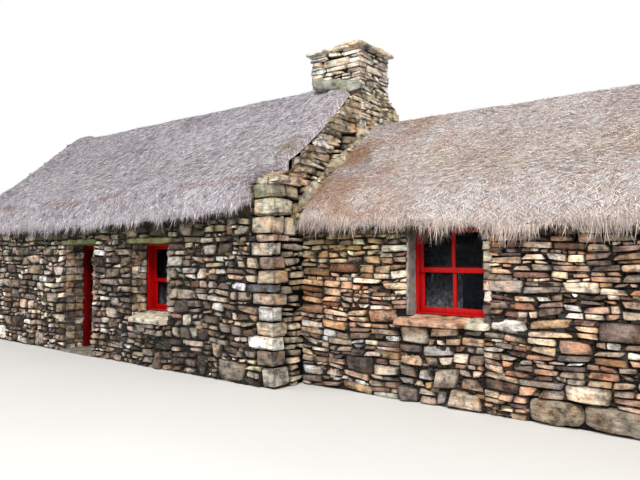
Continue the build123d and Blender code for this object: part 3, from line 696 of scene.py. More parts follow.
def block_shapes(rng, low, high, shades, power=SPLIT_ROUND, rough=0.007, lean=0.03):
    """Rounded blocks between low and high corners.

    A cube point p becomes p / (|x|^e + |y|^e + |z|^e)^(1/e), then is sheared by lean and shaken by rough.
    """
    low, high = np.atleast_2d(low), np.atleast_2d(high)
    grid, faces = cube_grid(BLOCK_CUTS)
    n, count = len(low), len(grid)
    e = rng.uniform(*power, (n, 1))
    norm = (np.abs(grid[None]) ** e[..., None]).sum(-1) ** (1 / e)
    unit = grid[None] / norm[..., None]
    half, centre = (high - low) / 2, (high + low) / 2
    shear = rng.normal(0, lean, (n, 3, 3))
    points = unit * half[:, None, :]
    points = points + np.einsum("npk,njk->npj", unit, shear) * half.min(1)[:, None, None]
    points = points + rng.normal(0, rough, (n, count, 3)) + centre[:, None, :]
    # Painted shade: points on the cube's edges get alpha 0.5, which darkens the rims of the stones.
    second = np.sort(np.abs(grid), 1)[:, 1]
    return (points.reshape(-1, 3), repeated(faces, n, count),
            shaded(np.repeat(shades[:, None], count, 1), np.where(second > 0.99, 0.5, 1.0)))


# %% [markdown]
# ## Corner stones
# A mason keeps the biggest stones for the corners and lays them long and short in turn, so that each
# ties the two walls together. The wall faces start behind them. On the pier beside the byre every
# corner stone can be seen, so their lengths and colours are a list; elsewhere chance sets them.

# %% Corner stones
def corner_stones(rng, beds, corner, into_x, into_y, palette, long=0.46, short=0.26, split=0.5, spread=0.36,
                  given=None, whole_from=np.inf):
    """Blocks up one outer corner; beds alternate long and short, some are split into two rows.

    given lists (length along x, length along y, colour) for every bed of a corner whose stones are known.
    From the height whole_from on, a block is as long along x as the raised edge is thick.
    Returns the mesh set and the toes, the length that every bed takes up along x and along y.
    """
    n = len(beds) - 1
    turn = np.arange(n) % 2
    toe_x = np.where(turn, long, short) * rng.uniform(0.85, 1.2, n)
    toe_y = np.where(turn, short, long) * rng.uniform(0.85, 1.2, n)
    rows = np.where(rng.random(n) < split, 2, 1)
    toe_x = np.where(beds[:-1] > whole_from - 0.01, COPING, toe_x)
    if given is not None:
        toe_x, toe_y = np.array([row[:2] for row in given]).T
        rows = np.ones(n, int)
    bed = np.repeat(np.arange(n), rows)
    row = np.concatenate([np.arange(r) for r in rows])
    share = rng.uniform(0.38, 0.62, n)[bed]
    low_line, high_line = beds[:-1][bed], beds[1:][bed]
    parting = low_line + share * np.diff(beds)[bed]
    z0 = np.where(row == 0, low_line, parting)
    z1 = np.where((row == 0) & (rows[bed] == 2), parting, high_line)
    reach_x = toe_x[bed] - rng.uniform(0.004, 0.012, len(bed))
    reach_y = toe_y[bed] - rng.uniform(0.004, 0.012, len(bed))
    face = rng.normal(0.004, 0.006, (len(bed), 2))
    ends = np.stack([corner[0] - into_x * face[:, 0], corner[0] + into_x * reach_x], 1)
    sides = np.stack([corner[1] - into_y * face[:, 1], corner[1] + into_y * reach_y], 1)
    low = np.stack([ends.min(1), sides.min(1), z0 + 0.004], 1)
    high = np.stack([ends.max(1), sides.max(1), z1 - 0.004], 1)
    shades = stone_shades(rng, len(bed), palette, spread)
    if given is not None:
        shades = screen(*(row[2] for row in given)) * 1.1
    return block_shapes(rng, low, high, shades, SPLIT_ROUND, 0.009, 0.035), toe_x, toe_y


# %% [markdown]
# ## The walls of the house
# Levels that a mason has to meet are taken from the measured pieces: the sill, the head of the
# openings, the top of the lintels and the wall head. Beds in between are shared out. The front and
# the two gables use the same beds, so their corner stones turn the corner together.

# %% Wall positions
WEST = corners("west_gable")[0][0]
MIDDLE = corners("mid_gable")[1][0]
EAST = corners("byre_end_gable")[1][0]
HOUSE_HALF = -corners("mid_gable")[0][1]
BYRE_HALF = -corners("byre_front_wall")[0][1]
HOUSE_HEAD = corners("house_front_wall_east")[1][2]
BYRE_HEAD = corners("byre_front_wall")[1][2]
HOUSE_RIDGE = corners("house_thatch_ridge")[1][2]
BYRE_RIDGE = corners("byre_thatch_ridge")[1][2]
COPING = corners("mid_gable_coping")[1][0] - corners("mid_gable_coping")[0][0]
WALL = 0.62
PLUS_X, MINUS_X, PLUS_Y, MINUS_Y = (1, 0, 0), (-1, 0, 0), (0, 1, 0), (0, -1, 0)
HOUSE, BYRE = (HOUSE_HALF, HOUSE_HEAD, HOUSE_RIDGE), (BYRE_HALF, BYRE_HEAD, BYRE_RIDGE)
HOUSE_FRONT, HOUSE_BACK = ((0, -HOUSE_HALF, 0), PLUS_X, MINUS_Y), ((0, HOUSE_HALF, 0), MINUS_X, PLUS_Y)
BYRE_FRONT, BYRE_BACK = ((0, -BYRE_HALF, 0), PLUS_X, MINUS_Y), ((0, BYRE_HALF, 0), MINUS_X, PLUS_Y)
print("house: half, head, ridge", HOUSE, "byre:", BYRE, "coping", COPING)


def coping_line(across, block):
    """Height of the raised gable edge of a block at a distance across from its ridge line."""
    half, head, ridge = block
    return np.interp(np.abs(across), [0.0, 0.36, half - 0.33, half],
                     [ridge + 0.045, ridge - 0.17, head + 0.56, head + 0.39])


def opening_holes(opening, *nodes):
    """Rectangles (x0, x1, z0, z1) that the wall leaves out: the opening, its lintel and its sill."""
    boxes = [corners(node) for node in nodes]
    return [opening, *((low[0], high[0], low[2], high[2]) for low, high in boxes)]


door_low, door_high = corners("door_frame")
pane_low, pane_high = corners("house_window_frame")
byre_pane_low, byre_pane_high = corners("byre_window_frame")
sill_level = corners("house_window_sill")[0][2]
head_level, lintel_top = corners("house_window_lintel")[0][2], corners("house_window_lintel")[1][2]
byre_sill_level, byre_sill_top = (corner[2] for corner in corners("byre_window_sill"))
byre_head_level, byre_lintel_top = (corner[2] for corner in corners("byre_window_lintel"))


# %% [markdown]
# ## Where a wall is mossy, rusty, dull or painted in shade
# A wall doesn't change colour only from stone to stone. Under the dripping eave it is green and darker,
# moss with painted shade from the eave, the middle of the house front is darker, and the byre is rusty
# near the gable and grey at its foot. A painted texture could show it, but a slow factor on the colour
# of each whole stone keeps the stones crisp.

# %% Slow changes of colour over a wall
def rise_between(value, low, high):
    """0 below low, 1 above high, eased between."""
    t = np.clip((value - low) / (high - low), 0, 1)
    return t * t * (3 - 2 * t)


def house_tint(u, v):
    """Green and darker under the eave, from moss and painted shade; darker in the middle of the front than at its
    corners, most at its foot.
    """
    # Moss and painted shade from the eave: the top of the wall is greener and darkened by up to about half.
    moss = rise_between(v, 1.5, 1.95)[:, None] * (0.7 + 0.3 * flat_noise(u, v, 0.4, 61))[:, None]
    middle = (1 - rise_between(u, -0.5, 0.6)) * rise_between(u, -2.7, -2.2)
    dull = 0.97 - 0.27 * middle - 0.1 * (1 - rise_between(v, 0.05, 0.5)) * middle
    tint = np.stack([dull, dull * 0.99, dull], 1)
    return tint * (1 - moss * np.array([0.52, 0.45, 0.6])) * np.array([1.07, 1.08, 1.13])


def byre_tint(u, v):
    """Green and darker at the top, from moss and painted shade; rusty below it, darker above 1.2 m and grey at the foot
    near the gable; warm and bright further on.
    """
    near = 1 - rise_between(u, 2.3, 2.75)
    # Moss and painted shade from the eave: the top of the wall is greener and darker.
    moss = rise_between(v, 1.62, 1.9) * (0.45 + 0.55 * near) * (0.8 + 0.4 * flat_noise(u, v, 0.35, 62))
    corner = 1 - rise_between(u, 1.45, 1.9)
    rust = (0.25 * near + 0.75 * corner) * rise_between(v, 0.78, 0.95) * (1 - rise_between(v, 1.25, 1.5))
    grey = near * (1 - rise_between(v, 0.55, 0.85))
    tint = np.tile([1.17, 1.12, 1.10], (len(u), 1))
    tint = tint * (1 - moss[:, None] * np.array([0.32, 0.26, 0.55]))
    tint = tint * (1 - rust[:, None] * np.array([0.14, 0.30, 0.46]))
    tint = tint * (1 - (near * rise_between(v, 1.2, 1.5))[:, None] * np.array([0.16, 0.12, 0.3]))
    return tint * (1 - grey[:, None] * np.array([0.30, 0.20, 0.10]))


# %% [markdown]
# ## Laying out the house
# The plan of the front has the door and the window cut out, with their lintels and sill. The pier is
# the corner whose stones are given one by one. Every wall is laid once as face stones and the front
# once more as pinnings in its joints.

# %% Faces and corners of the house
rng = np.random.default_rng(41)
house_beds = np.array([0.0, 0.27, 0.45, sill_level, 0.79, 0.97, 1.13, 1.24, 1.41, 1.57, head_level, lintel_top,
                       HOUSE_HEAD, HOUSE_HEAD + 0.2, HOUSE_HEAD + 0.39])
PIER = (
    (0.22, 0.30, (156, 151, 143)), (0.30, 0.24, (130, 121, 112)), (0.44, 0.20, (236, 236, 236)),
    (0.30, 0.26, (180, 172, 160)), (0.26, 0.18, (184, 185, 188)), (0.40, 0.30, (168, 154, 144)),
    (0.48, 0.16, (82, 83, 88)), (0.30, 0.30, (170, 158, 142)), (0.24, 0.20, (128, 112, 108)),
    (0.40, 0.16, (172, 166, 157)), (0.31, 0.28, (160, 140, 128)), (0.40, 0.22, (180, 168, 152)),
    (0.36, 0.36, (172, 169, 155)), (0.40, 0.24, (128, 129, 115)),
)
gable_beds = np.concatenate([house_beds, HOUSE_HEAD + 0.39 + np.cumsum(rng.uniform(0.13, 0.23, 12))])
below_eave = house_beds[house_beds <= HOUSE_HEAD + 1e-6]

house_corners, toes = [], {}
for x, into_x in ((WEST, 1), (MIDDLE, -1)):
    for y, into_y in ((-HOUSE_HALF, 1), (HOUSE_HALF, -1)):
        seen = PIER if (into_x, into_y) == (-1, 1) else None
        mesh_set, *toes[into_x, into_y] = corner_stones(
            rng, house_beds, (x, y), into_x, into_y, HOUSE_STONES, given=seen, whole_from=HOUSE_HEAD)
        house_corners.append(mesh_set)

front_holes = (opening_holes((door_low[0], door_high[0], 0.0, head_level), "door_lintel")
               + opening_holes((pane_low[0], pane_high[0], sill_level, head_level), "house_window_lintel",
                               "house_window_sill"))
front_toes = [t[:len(below_eave) - 1] for t in (toes[1, 1][0], toes[-1, 1][0])]
front_plan = lay_stones(rng, below_eave, WEST, MIDDLE, front_holes, 0.3, 0.078, 0.34, *front_toes, slim=(1.3, 3.6))
front_face = wall_face(rng, front_plan, HOUSE_FRONT, HOUSE_STONES, joint=0.0065, shake=(0.02, 0.014),
                       still=front_holes, hole_depth=WALL - 0.005, spread=0.8, tint=house_tint)
front_pins = pinnings(rng, below_eave, WEST, MIDDLE, front_holes, HOUSE_FRONT, HOUSE_STONES, *front_toes)
back_toes = [t[:len(below_eave) - 1] for t in (toes[-1, -1][0], toes[1, -1][0])]
back_plan = lay_stones(rng, below_eave, -MIDDLE, -WEST, (), 0.4, 0.085, 0.35, *back_toes)
back_face = wall_face(rng, back_plan, HOUSE_BACK, HOUSE_STONES)
print("stones in the front of the house:", len(front_plan), "and in its back:", len(back_plan))

# %% [markdown]
# ## Gables
# A gable is a wall whose top follows the slope of its raised edge. Above the roof beside it, only the
# stones over the thatch can ever be seen, so a cover line leaves the hidden ones out.

# %% Gables of the house
def gable_face(rng, beds, block, x, along, palette, toe_left, toe_right, cover=None, length=0.36, thin=0.075,
               spread=0.2):
    """Stones of a gable up to its sloped edge; where cover(y) lies above a stone it is left out."""
    half = block[0]
    pad = np.zeros(len(beds) - 1 - len(toe_left))
    left_toes, right_toes = np.concatenate([toe_left, pad]), np.concatenate([toe_right, pad])
    plan = lay_stones(rng, beds, -half, half, (), length, thin, 0.28, left_toes, right_toes)
    if cover is not None:
        plan = plan[plan[:, 3] > cover(np.abs((plan[:, 0] + plan[:, 1]) / 2))]
    plane = ((x, 0, 0), along, PLUS_X if along == PLUS_Y else MINUS_X)
    return wall_face(rng, plan, plane, palette, 0.005, top_line=lambda u: coping_line(u, block), spread=spread)


def byre_cover(far):
    """Lowest stones that still show over the byre's thatch, as a height over the distance from the ridge."""
    return np.interp(far, [0.0, 0.36, BYRE_HALF - 0.48, BYRE_HALF - 0.1, BYRE_HALF],
                     [BYRE_RIDGE, BYRE_RIDGE - 0.22, BYRE_HEAD + 0.56, BYRE_HEAD, 0.0]) - 0.32


def house_cover(far):
    """The same over the thatch of the house."""
    return np.interp(far, [0.0, 0.36, HOUSE_HALF - 0.48, HOUSE_HALF],
                     [HOUSE_RIDGE, HOUSE_RIDGE - 0.22, HOUSE_HEAD + 0.76, HOUSE_HEAD + 0.1]) - 0.2


no_toes = np.zeros(len(house_beds) - 1)
west_outer, west_inner, mid_outer, mid_inner = (
    gable_face(rng, gable_beds, HOUSE, *gable) for gable in (
        (WEST, MINUS_Y, HOUSE_STONES, toes[1, -1][1], toes[1, 1][1]),
        (WEST + COPING, PLUS_Y, HOUSE_STONES, no_toes, no_toes, house_cover),
        (MIDDLE, PLUS_Y, GABLE_STONES, toes[-1, 1][1], toes[-1, -1][1], byre_cover),
        (MIDDLE - COPING, MINUS_Y, HOUSE_STONES, no_toes, no_toes, house_cover)))
print("gable stones:", [len(gable[1]) for gable in (west_outer, west_inner, mid_outer, mid_inner)], "faces")

# %% [markdown]
# ## Raised gable edges
# Thatch is stopped at each gable by a raised edge of flat stones. They lie level, each a little
# further in than the one below, so the edge climbs in rough steps. They could be laid along the
# slope, but level stones with stepped ends are what a builder without cut stone can make stable.

# %% Coping stones
def coping_stones(rng, block, x_low, x_high, palette, stop=0.0, lapped=0, crown=0.045):
    """Level blocks stepping up both slopes of a gable edge, until they come within stop of the ridge line.

    Above the corner stones only the outer strip is laid where straw laps over the inner one: lapped is
    -1 if the outer side is the low x, 1 if it is the high x, and 0 without a lap.
    """
    half, head, ridge = block
    steps = [head + 0.37]
    while steps[-1] < ridge + 0.03:
        steps.append(steps[-1] + rng.uniform(0.7, 1.35) * 0.085)
    steps = np.array(steps)
    steps = steps[steps < ridge + crown + 0.05]
    z0, z1 = steps[:-1], np.minimum(steps[1:], ridge + crown)
    n = len(z0)
    reach = np.interp((z0 + z1) / 2, [head + 0.37, head + 0.56, ridge - 0.17, ridge + 0.06],
                      [half, half - 0.33, 0.36, 0.03])
    lows, highs = [], []
    for side in (-1, 1):
        outer = reach + rng.uniform(-0.03, 0.035, n)
        inner = outer - rng.uniform(0.36, 0.5, n)
        cut = np.where(rng.random(n) < 0.55, rng.uniform(0.3, 0.7, n), 1.0)
        strip = rng.uniform(0.1, 0.2, n)
        under = z0 > head + 0.5
        left = np.where(under & (lapped > 0), x_high - strip, x_low)
        right = np.where(under & (lapped < 0), x_low + strip, x_high)
        cut = np.where(under & (lapped != 0), 1.0, cut)
        split = left + cut * (right - left)
        for a, b, used in ((left, split, reach > stop), (split, right, (reach > stop) & (cut < 1))):
            push = rng.uniform(-0.02, 0.02, n)
            y_a, y_b = side * (outer + push), side * inner
            lows.append(np.stack([a + 0.004, np.minimum(y_a, y_b), z0 + 0.003], 1)[used])
            highs.append(np.stack([b - 0.004, np.maximum(y_a, y_b), z1 - 0.003], 1)[used])
    low, high = np.concatenate(lows), np.concatenate(highs)
    return block_shapes(rng, low, high, stone_shades(rng, len(low), palette, 0.3), SPLIT_ROUND, 0.009, 0.045)


PROUD = 0.012
stack_low, stack_high = corners("chimney_stack")
west_coping = coping_stones(rng, HOUSE, WEST - PROUD, WEST + COPING + PROUD, HOUSE_STONES * 0.85, lapped=-1,
                            crown=-0.07)
mid_coping = coping_stones(rng, HOUSE, MIDDLE - COPING - PROUD, MIDDLE + PROUD, GABLE_STONES * 1.04,
                           stop=stack_high[1] + 0.02, lapped=1)
byre_coping = coping_stones(rng, BYRE, EAST - COPING - PROUD, EAST + PROUD, BYRE_STONES)
print("faces of the raised edges:", [len(edge[1]) for edge in (west_coping, mid_coping, byre_coping)])

# %% [markdown]
# ## The walls of the byre
# The byre's stones are thinner slabs of warmer colour, and the patch below its window was filled
# later: its beds do not run through, and a straight joint shows where a doorway once was.

# %% Faces and corners of the byre
rng = np.random.default_rng(77)
byre_beds = bed_lines(rng, [0.0, 0.12, 0.25, byre_sill_level, byre_head_level, byre_lintel_top, BYRE_HEAD + 0.39],
                      0.175)
BASE_BOULDERS = ((3.95, 4.44, 0.23, (150, 138, 122)), (4.44, 5.12, 0.24, (138, 130, 120)))
byre_gable_beds = np.concatenate([byre_beds, BYRE_HEAD + 0.39 + np.cumsum(rng.uniform(0.13, 0.23, 7))])
byre_below = byre_beds[byre_beds <= BYRE_HEAD + 1e-6]
byre_corners, byre_toes = [], {}
for y, into_y in ((-BYRE_HALF, 1), (BYRE_HALF, -1)):
    mesh_set, *byre_toes[into_y] = corner_stones(rng, byre_beds, (EAST, y), -1, into_y, BYRE_STONES,
                                                 whole_from=BYRE_HEAD)
    byre_corners.append(mesh_set)

FILLED_DOOR = (byre_pane_low[0] - 0.11, byre_pane_high[0] - 0.05, 0.0, byre_sill_level)
byre_holes = opening_holes((byre_pane_low[0], byre_pane_high[0], byre_sill_level, byre_head_level),
                           "byre_window_lintel", "byre_window_sill")
all_holes = byre_holes + [(x0, x1, 0.0, 0.25) for x0, x1, _, _ in BASE_BOULDERS] + [FILLED_DOOR]
front_toe, back_toe = (byre_toes[side][0][:len(byre_below) - 1] for side in (1, -1))
byre_plan = lay_stones(rng, byre_below, MIDDLE, EAST, all_holes, 0.36, 0.064, 0.16, None, front_toe)
byre_face = wall_face(rng, byre_plan, BYRE_FRONT, BYRE_STONES, joint=0.002, shake=(0.015, 0.011),
                      still=byre_holes + [FILLED_DOOR], hole_depth=WALL - 0.005, spread=0.5, tint=byre_tint)
byre_pins = pinnings(rng, byre_below, MIDDLE, EAST, all_holes, BYRE_FRONT, BYRE_STONES, None, front_toe)
fill_beds = bed_lines(rng, [0.0, byre_sill_level], 0.23)
fill_plan = lay_stones(rng, fill_beds, *FILLED_DOOR[:2], (), 0.28, 0.1, 0.2, slim=(1.2, 3.0))
fill_plane = ((0, -BYRE_HALF + 0.012, 0), PLUS_X, MINUS_Y)
fill_pins = pinnings(rng, fill_beds, *FILLED_DOOR[:2], (), fill_plane, BYRE_STONES)
fill_face = wall_face(rng, fill_plan, BYRE_FRONT, BYRE_STONES * 0.82, proud=-0.012, spread=0.24)
byre_back_plan = lay_stones(rng, byre_below, -EAST, -MIDDLE, (), 0.4, 0.08, 0.3, back_toe, None)
byre_back_face = wall_face(rng, byre_back_plan, BYRE_BACK, BYRE_STONES)
end_outer = gable_face(rng, byre_gable_beds, BYRE, EAST, PLUS_Y, BYRE_STONES, byre_toes[1][1], byre_toes[-1][1],
                       None, 0.38, 0.07, 0.26)
no_toes = np.zeros(len(byre_beds) - 1)
end_inner = gable_face(rng, byre_gable_beds, BYRE, EAST - COPING, MINUS_Y, BYRE_STONES, no_toes, no_toes,
                       lambda far: byre_cover(far) + 0.1)
print("stones in the front of the byre:", len(byre_plan) + len(fill_plan))


# %% [markdown]
# ## The chimney
# The stack is built of the thinnest and palest slabs, with a rough flag on top that keeps the rain
# out of the masonry. Its four faces share their beds and turn the corners as the walls do.

# %% Chimney stack
rng = np.random.default_rng(19)
stack_beds = bed_lines(rng, [stack_low[2], stack_high[2]], 0.105)
stack_sets, stack_toes = [], {}
for x, into_x in ((stack_low[0], 1), (stack_high[0], -1)):
    for y, into_y in ((stack_low[1], 1), (stack_high[1], -1)):
        mesh_set, *stack_toes[into_x, into_y] = corner_stones(
            rng, stack_beds, (x, y), into_x, into_y, CHIMNEY_STONES, 0.3, 0.18, 0.85, 0.26)
        stack_sets.append(mesh_set)
(x0, y0, _), (x1, y1, _) = stack_low, stack_high
for left, right, origin, along, out, first, second in (
        (x0, x1, (0, y0, 0), PLUS_X, MINUS_Y, (1, 1), (-1, 1)),
        (-x1, -x0, (0, y1, 0), MINUS_X, PLUS_Y, (-1, -1), (1, -1)),
        (y0, y1, (x1, 0, 0), PLUS_Y, PLUS_X, (-1, 1), (-1, -1)),
        (-y1, -y0, (x0, 0, 0), MINUS_Y, MINUS_X, (1, -1), (1, 1))):
    axis = 0 if along in (PLUS_X, MINUS_X) else 1
    plan = lay_stones(rng, stack_beds, left, right, (), 0.34, 0.06, 0.2, stack_toes[first][axis],
                      stack_toes[second][axis], (2.4, 5.0))
    stack_sets.append(wall_face(rng, plan, (origin, along, out), CHIMNEY_STONES, 0.003, (0.012, 0.009),
                                wander=0.012, spread=0.25))
print("beds in the stack:", len(stack_beds) - 1)

# %% [markdown]
# ## Stone linings of the openings
# The sides of a door or window opening are stone too. Short blocks stacked in beds line them, and
# their ends run a little out of line. Beside the byre window the wall behind the frame is filled
# with two plain hearts painted near black as shade, so that no gap shows past the frame.

# %% Linings and all wall pieces
def reveal_stones(rng, edge, into, near_y, far_y, low_z):
    """Short blocks that line one side of an opening; into is -1 if the wall lies at lower x, else 1."""
    lows, highs = [], []
    beds = bed_lines(rng, [low_z, head_level], 0.115)
    for z0, z1 in zip(beds[:-1], beds[1:]):
        cuts = shared_cuts(rng, near_y, far_y, round((far_y - near_y) / 0.16))
        for a, b in zip(cuts[:-1], cuts[1:]):
            jut, root = edge - into * rng.uniform(0.008, 0.024), edge + into * 0.05
            lows.append((min(jut, root), a + 0.004, z0 + 0.004))
            highs.append((max(jut, root), b - 0.004, z1 - 0.004))
    shades = stone_shades(rng, len(lows), HOUSE_STONES, 0.5)
    return block_shapes(rng, np.array(lows), np.array(highs), shades, SPLIT_ROUND, 0.008, 0.05)


make_piece(
    "house_wall_stones", merged(front_face, front_pins, back_face), house_stone,
    ("house_front_wall_west", "wall_over_door", "house_front_wall_east", "house_back_wall"), 38)
make_piece("house_gable_stones", merged(*house_corners, west_outer, west_inner, mid_outer, mid_inner), house_stone,
           ("west_gable", "mid_gable"), 38)
make_piece("house_gable_edges", merged(west_coping, mid_coping), house_stone,
           ("west_gable_coping", "mid_gable_coping"), 38)
make_piece("byre_stones", merged(*byre_corners, byre_face, byre_pins, fill_face, fill_pins, byre_back_face,
                                 end_outer, end_inner),
           byre_stone, ("byre_front_wall", "byre_back_wall", "byre_end_gable"), 38)
make_piece("byre_gable_edge", byre_coping, byre_stone, ("byre_end_coping",), 38)

door_side, pane_side = door_low[1] - 0.012, pane_low[1] - 0.012
make_piece("reveal_stones", merged(*(
    reveal_stones(rng, edge, into, -HOUSE_HALF + (0.045 if into < 0 else 0.014), far_y, low_z)
    for edge, into, far_y, low_z in (
        (door_low[0], -1, door_side, 0.02), (door_high[0], 1, door_side, 0.02),
        (pane_low[0], -1, pane_side, sill_level), (pane_high[0], 1, pane_side, sill_level)))),
           house_stone, sharp=38)
lows, highs = [], []
for edge, way in ((byre_pane_low[0], -1), (byre_pane_high[0], 1)):
    near, far = edge + way * 0.014, edge + way * 0.16
    lows.append((min(near, far), -BYRE_HALF + 0.03, byre_sill_level))
    highs.append((max(near, far), -BYRE_HALF + 0.12, byre_pane_high[2]))
# Painted shade: two near-black blocks fill the wall behind the byre window's frame.
make_piece("jamb_hearts", block_shapes(rng, lows, highs, np.full((2, 3), 0.02), (16.0, 17.0), 0.001, 0.0),
           earth_in_painted_shade, sharp=60)
make_piece("chimney_stones", merged(*stack_sets), chimney_stone, ("chimney_stack",), 38)

# %% [markdown]
# ## Hearts behind the stones
# Every outer plane of a measured wall is drawn in by 6 cm, the sides of the openings by 14 mm, and
# the raised edges are sunk as well. The planes of the rooms stay and are named, so that their
# triangles turn limewash white.

# %% Hearts of the walls
SET_IN, JAMB_IN = 0.06, 0.014
openings = [(0, door_low[0], -JAMB_IN), (0, door_high[0], JAMB_IN), (0, pane_low[0], -JAMB_IN),
            (0, pane_high[0], JAMB_IN)]
byre_openings = [(0, byre_pane_low[0], -JAMB_IN), (0, byre_pane_high[0], JAMB_IN)]
house_room = ((1, -HOUSE_HALF + WALL), (1, HOUSE_HALF - WALL), (0, WEST + WALL), (0, MIDDLE - WALL))
byre_room = ((1, -BYRE_HALF + WALL), (1, BYRE_HALF - WALL), (0, MIDDLE), (0, EAST - WALL))
house_ends = [(1, -HOUSE_HALF, SET_IN), (1, HOUSE_HALF, -SET_IN)]
byre_ends = [(1, -BYRE_HALF, SET_IN), (1, BYRE_HALF, -SET_IN)]
heart_piece(
    "house_wall_hearts", "rubble",
    *(wall_heart(node, [house_ends[0], *openings], house_room)
      for node in ("house_front_wall_west", "wall_over_door", "house_front_wall_east")),
    wall_heart("house_back_wall", house_ends[1:], house_room),
    wall_heart("west_gable", [(0, WEST, SET_IN), *house_ends], house_room),
    wall_heart("mid_gable", [(0, MIDDLE, -SET_IN), *house_ends], house_room))
heart_piece(
    "byre_wall_hearts", "byre_rubble",
    wall_heart("byre_front_wall", [byre_ends[0], *byre_openings], byre_room),
    wall_heart("byre_back_wall", byre_ends[1:], byre_room),
    wall_heart("byre_end_gable", [(0, EAST, -SET_IN), *byre_ends], byre_room))
heart_piece("gable_edge_hearts", "rubble", *(
    wall_heart(node, [(0, low_x, SET_IN), (0, high_x, -SET_IN), *ends], drop=drop)
    for node, low_x, high_x, ends, drop in (
        ("west_gable_coping", WEST, WEST + COPING, house_ends, 0.17),
        ("mid_gable_coping", MIDDLE - COPING, MIDDLE, house_ends, 0.06),
        ("byre_end_coping", EAST - COPING, EAST, byre_ends, 0.06))))
heart_piece("chimney_heart", "chimney_stone", wall_heart("chimney_stack", [
    (0, stack_low[0], SET_IN), (0, stack_high[0], -SET_IN), (1, stack_low[1], SET_IN), (1, stack_high[1], -SET_IN)]))


# %% [markdown]
# ## Single stones
# Lintels, sills, the door step, the drip stone and the flags on the chimney are single stones that
# the eye can follow all round. Each is a cube with many cuts, mapped into eight corners, rounded
# and roughened by the soft noise, so an edge runs out of true as a split stone's does.

# %% Rough stone
def rough_stone(low_ring, high_ring, seed, rough, cuts, power, shade):
    """A stone between two rings of four corners (counter-clockwise from above, lower then upper).

    A cube point is rounded to the superellipsoid of the given power, blended between the eight corners
    by its three coordinates, and moved by noise of 12 cm and 4 cm cells.
    """
    grid, faces = cube_grid(np.linspace(-1, 1, cuts))
    unit = grid / ((np.abs(grid) ** power).sum(1) ** (1 / power))[:, None]
    a, b, c = (unit.T + 1) / 2
    ring = np.stack([(1 - a) * (1 - b), a * (1 - b), a * b, (1 - a) * b], 1)
    low, high = ring @ np.array(low_ring, float), ring @ np.array(high_ring, float)
    points = low * (1 - c)[:, None] + high * c[:, None]
    move = np.stack([soft_noise(points, 0.12, seed + k) + 0.5 * soft_noise(points, 0.04, seed + 7 + k)
                     for k in range(3)], 1)
    points = points + move * rough
    tone = 1 + 0.14 * soft_noise(points, 0.09, seed + 20)
    return points, faces, shaded(np.clip(shade * tone[:, None], 0, 1))


def box_rings(low, high):
    """The two rings of corners of an upright box."""
    (x0, y0, z0), (x1, y1, z1) = low, high
    ring = [(x0, y0), (x1, y0), (x1, y1), (x0, y1)]
    return [(x, y, z0) for x, y in ring], [(x, y, z1) for x, y in ring]


def single_stones(name, node, parts, material, sharp=40):
    """Makes a piece from single stones, which stands for a measured one if that is named."""
    make_piece(name, merged(*parts), material, (node,) if node else (), sharp)


print("faces per rough stone:", [6 * (cuts - 1) ** 2 for cuts in (9, 13, 19)])

# %% [markdown]
# ## Lintels and sills
# Thin mossy slabs carry the wall over the openings. The sill of the house window is one pale slab
# that slopes outwards; the byre's is two rough pieces that stand well proud of the wall.

# %% Lintels, sills and boulders
mossy_stone = stone_material("mossy_stone", 0.8, 0.4, 0.25, 0.7, 0.012)
sill_stone = stone_material("sill_stone", 0.95, 0.5, 0.35, 0.3, 0.014)
MOSS_SHADE, SILL_SHADE, PINK_SHADE = screen((86, 90, 62), (170, 167, 154), (164, 132, 112))
INNER_EDGE, BYRE_INNER_EDGE = -1.83, -1.46

for seed, node in enumerate(("door_lintel", "house_window_lintel", "byre_window_lintel"), start=11):
    low, high = corners(node)
    rings = box_rings(low + np.array([0, -0.035, -0.004]), high + np.array([0, 0, 0.004]))
    single_stones(node + "_stone", node, [rough_stone(*rings, seed, 0.017, 19, 8.0, MOSS_SHADE)], mossy_stone)

low, high = corners("house_window_sill")
low_ring, back_ring = box_rings(low, (high[0], INNER_EDGE, high[2]))
top_ring = [(low[0] + 0.01, low[1] - 0.01, low[2] + 0.066), (high[0] - 0.01, low[1], low[2] + 0.06), *back_ring[2:]]
inner_rings = box_rings((low[0], INNER_EDGE, low[2]), (high[0], high[1], low[2] + 0.1))
single_stones("house_window_sill_stone", "house_window_sill", [
    rough_stone(low_ring, top_ring, 21, 0.009, 19, 12.0, SILL_SHADE),
    rough_stone(*inner_rings, 22, 0.004, 9, 14.0, SILL_SHADE * 0.7)], sill_stone)

boulders = []
for seed, (x0, x1, top, tone) in enumerate(BASE_BOULDERS, start=91):
    rings = box_rings((x0 - 0.008, -BYRE_HALF - 0.02, 0.016), (x1 + 0.008, -BYRE_HALF + 0.3, top))
    boulders.append(rough_stone(*rings, seed, 0.018, 17, 5.0, screen(*tone)))
single_stones("byre_base_boulders", None, boulders, byre_stone, 60)

low, high = corners("byre_window_sill")
joint_x, far_x = low[0] + 0.80, low[0] + 0.80 + 0.012


def raised(ring, *rises):
    """The same ring of corners, each lifted by its own rise."""
    return [(x, y, z + rise) for (x, y, z), rise in zip(ring, rises)]


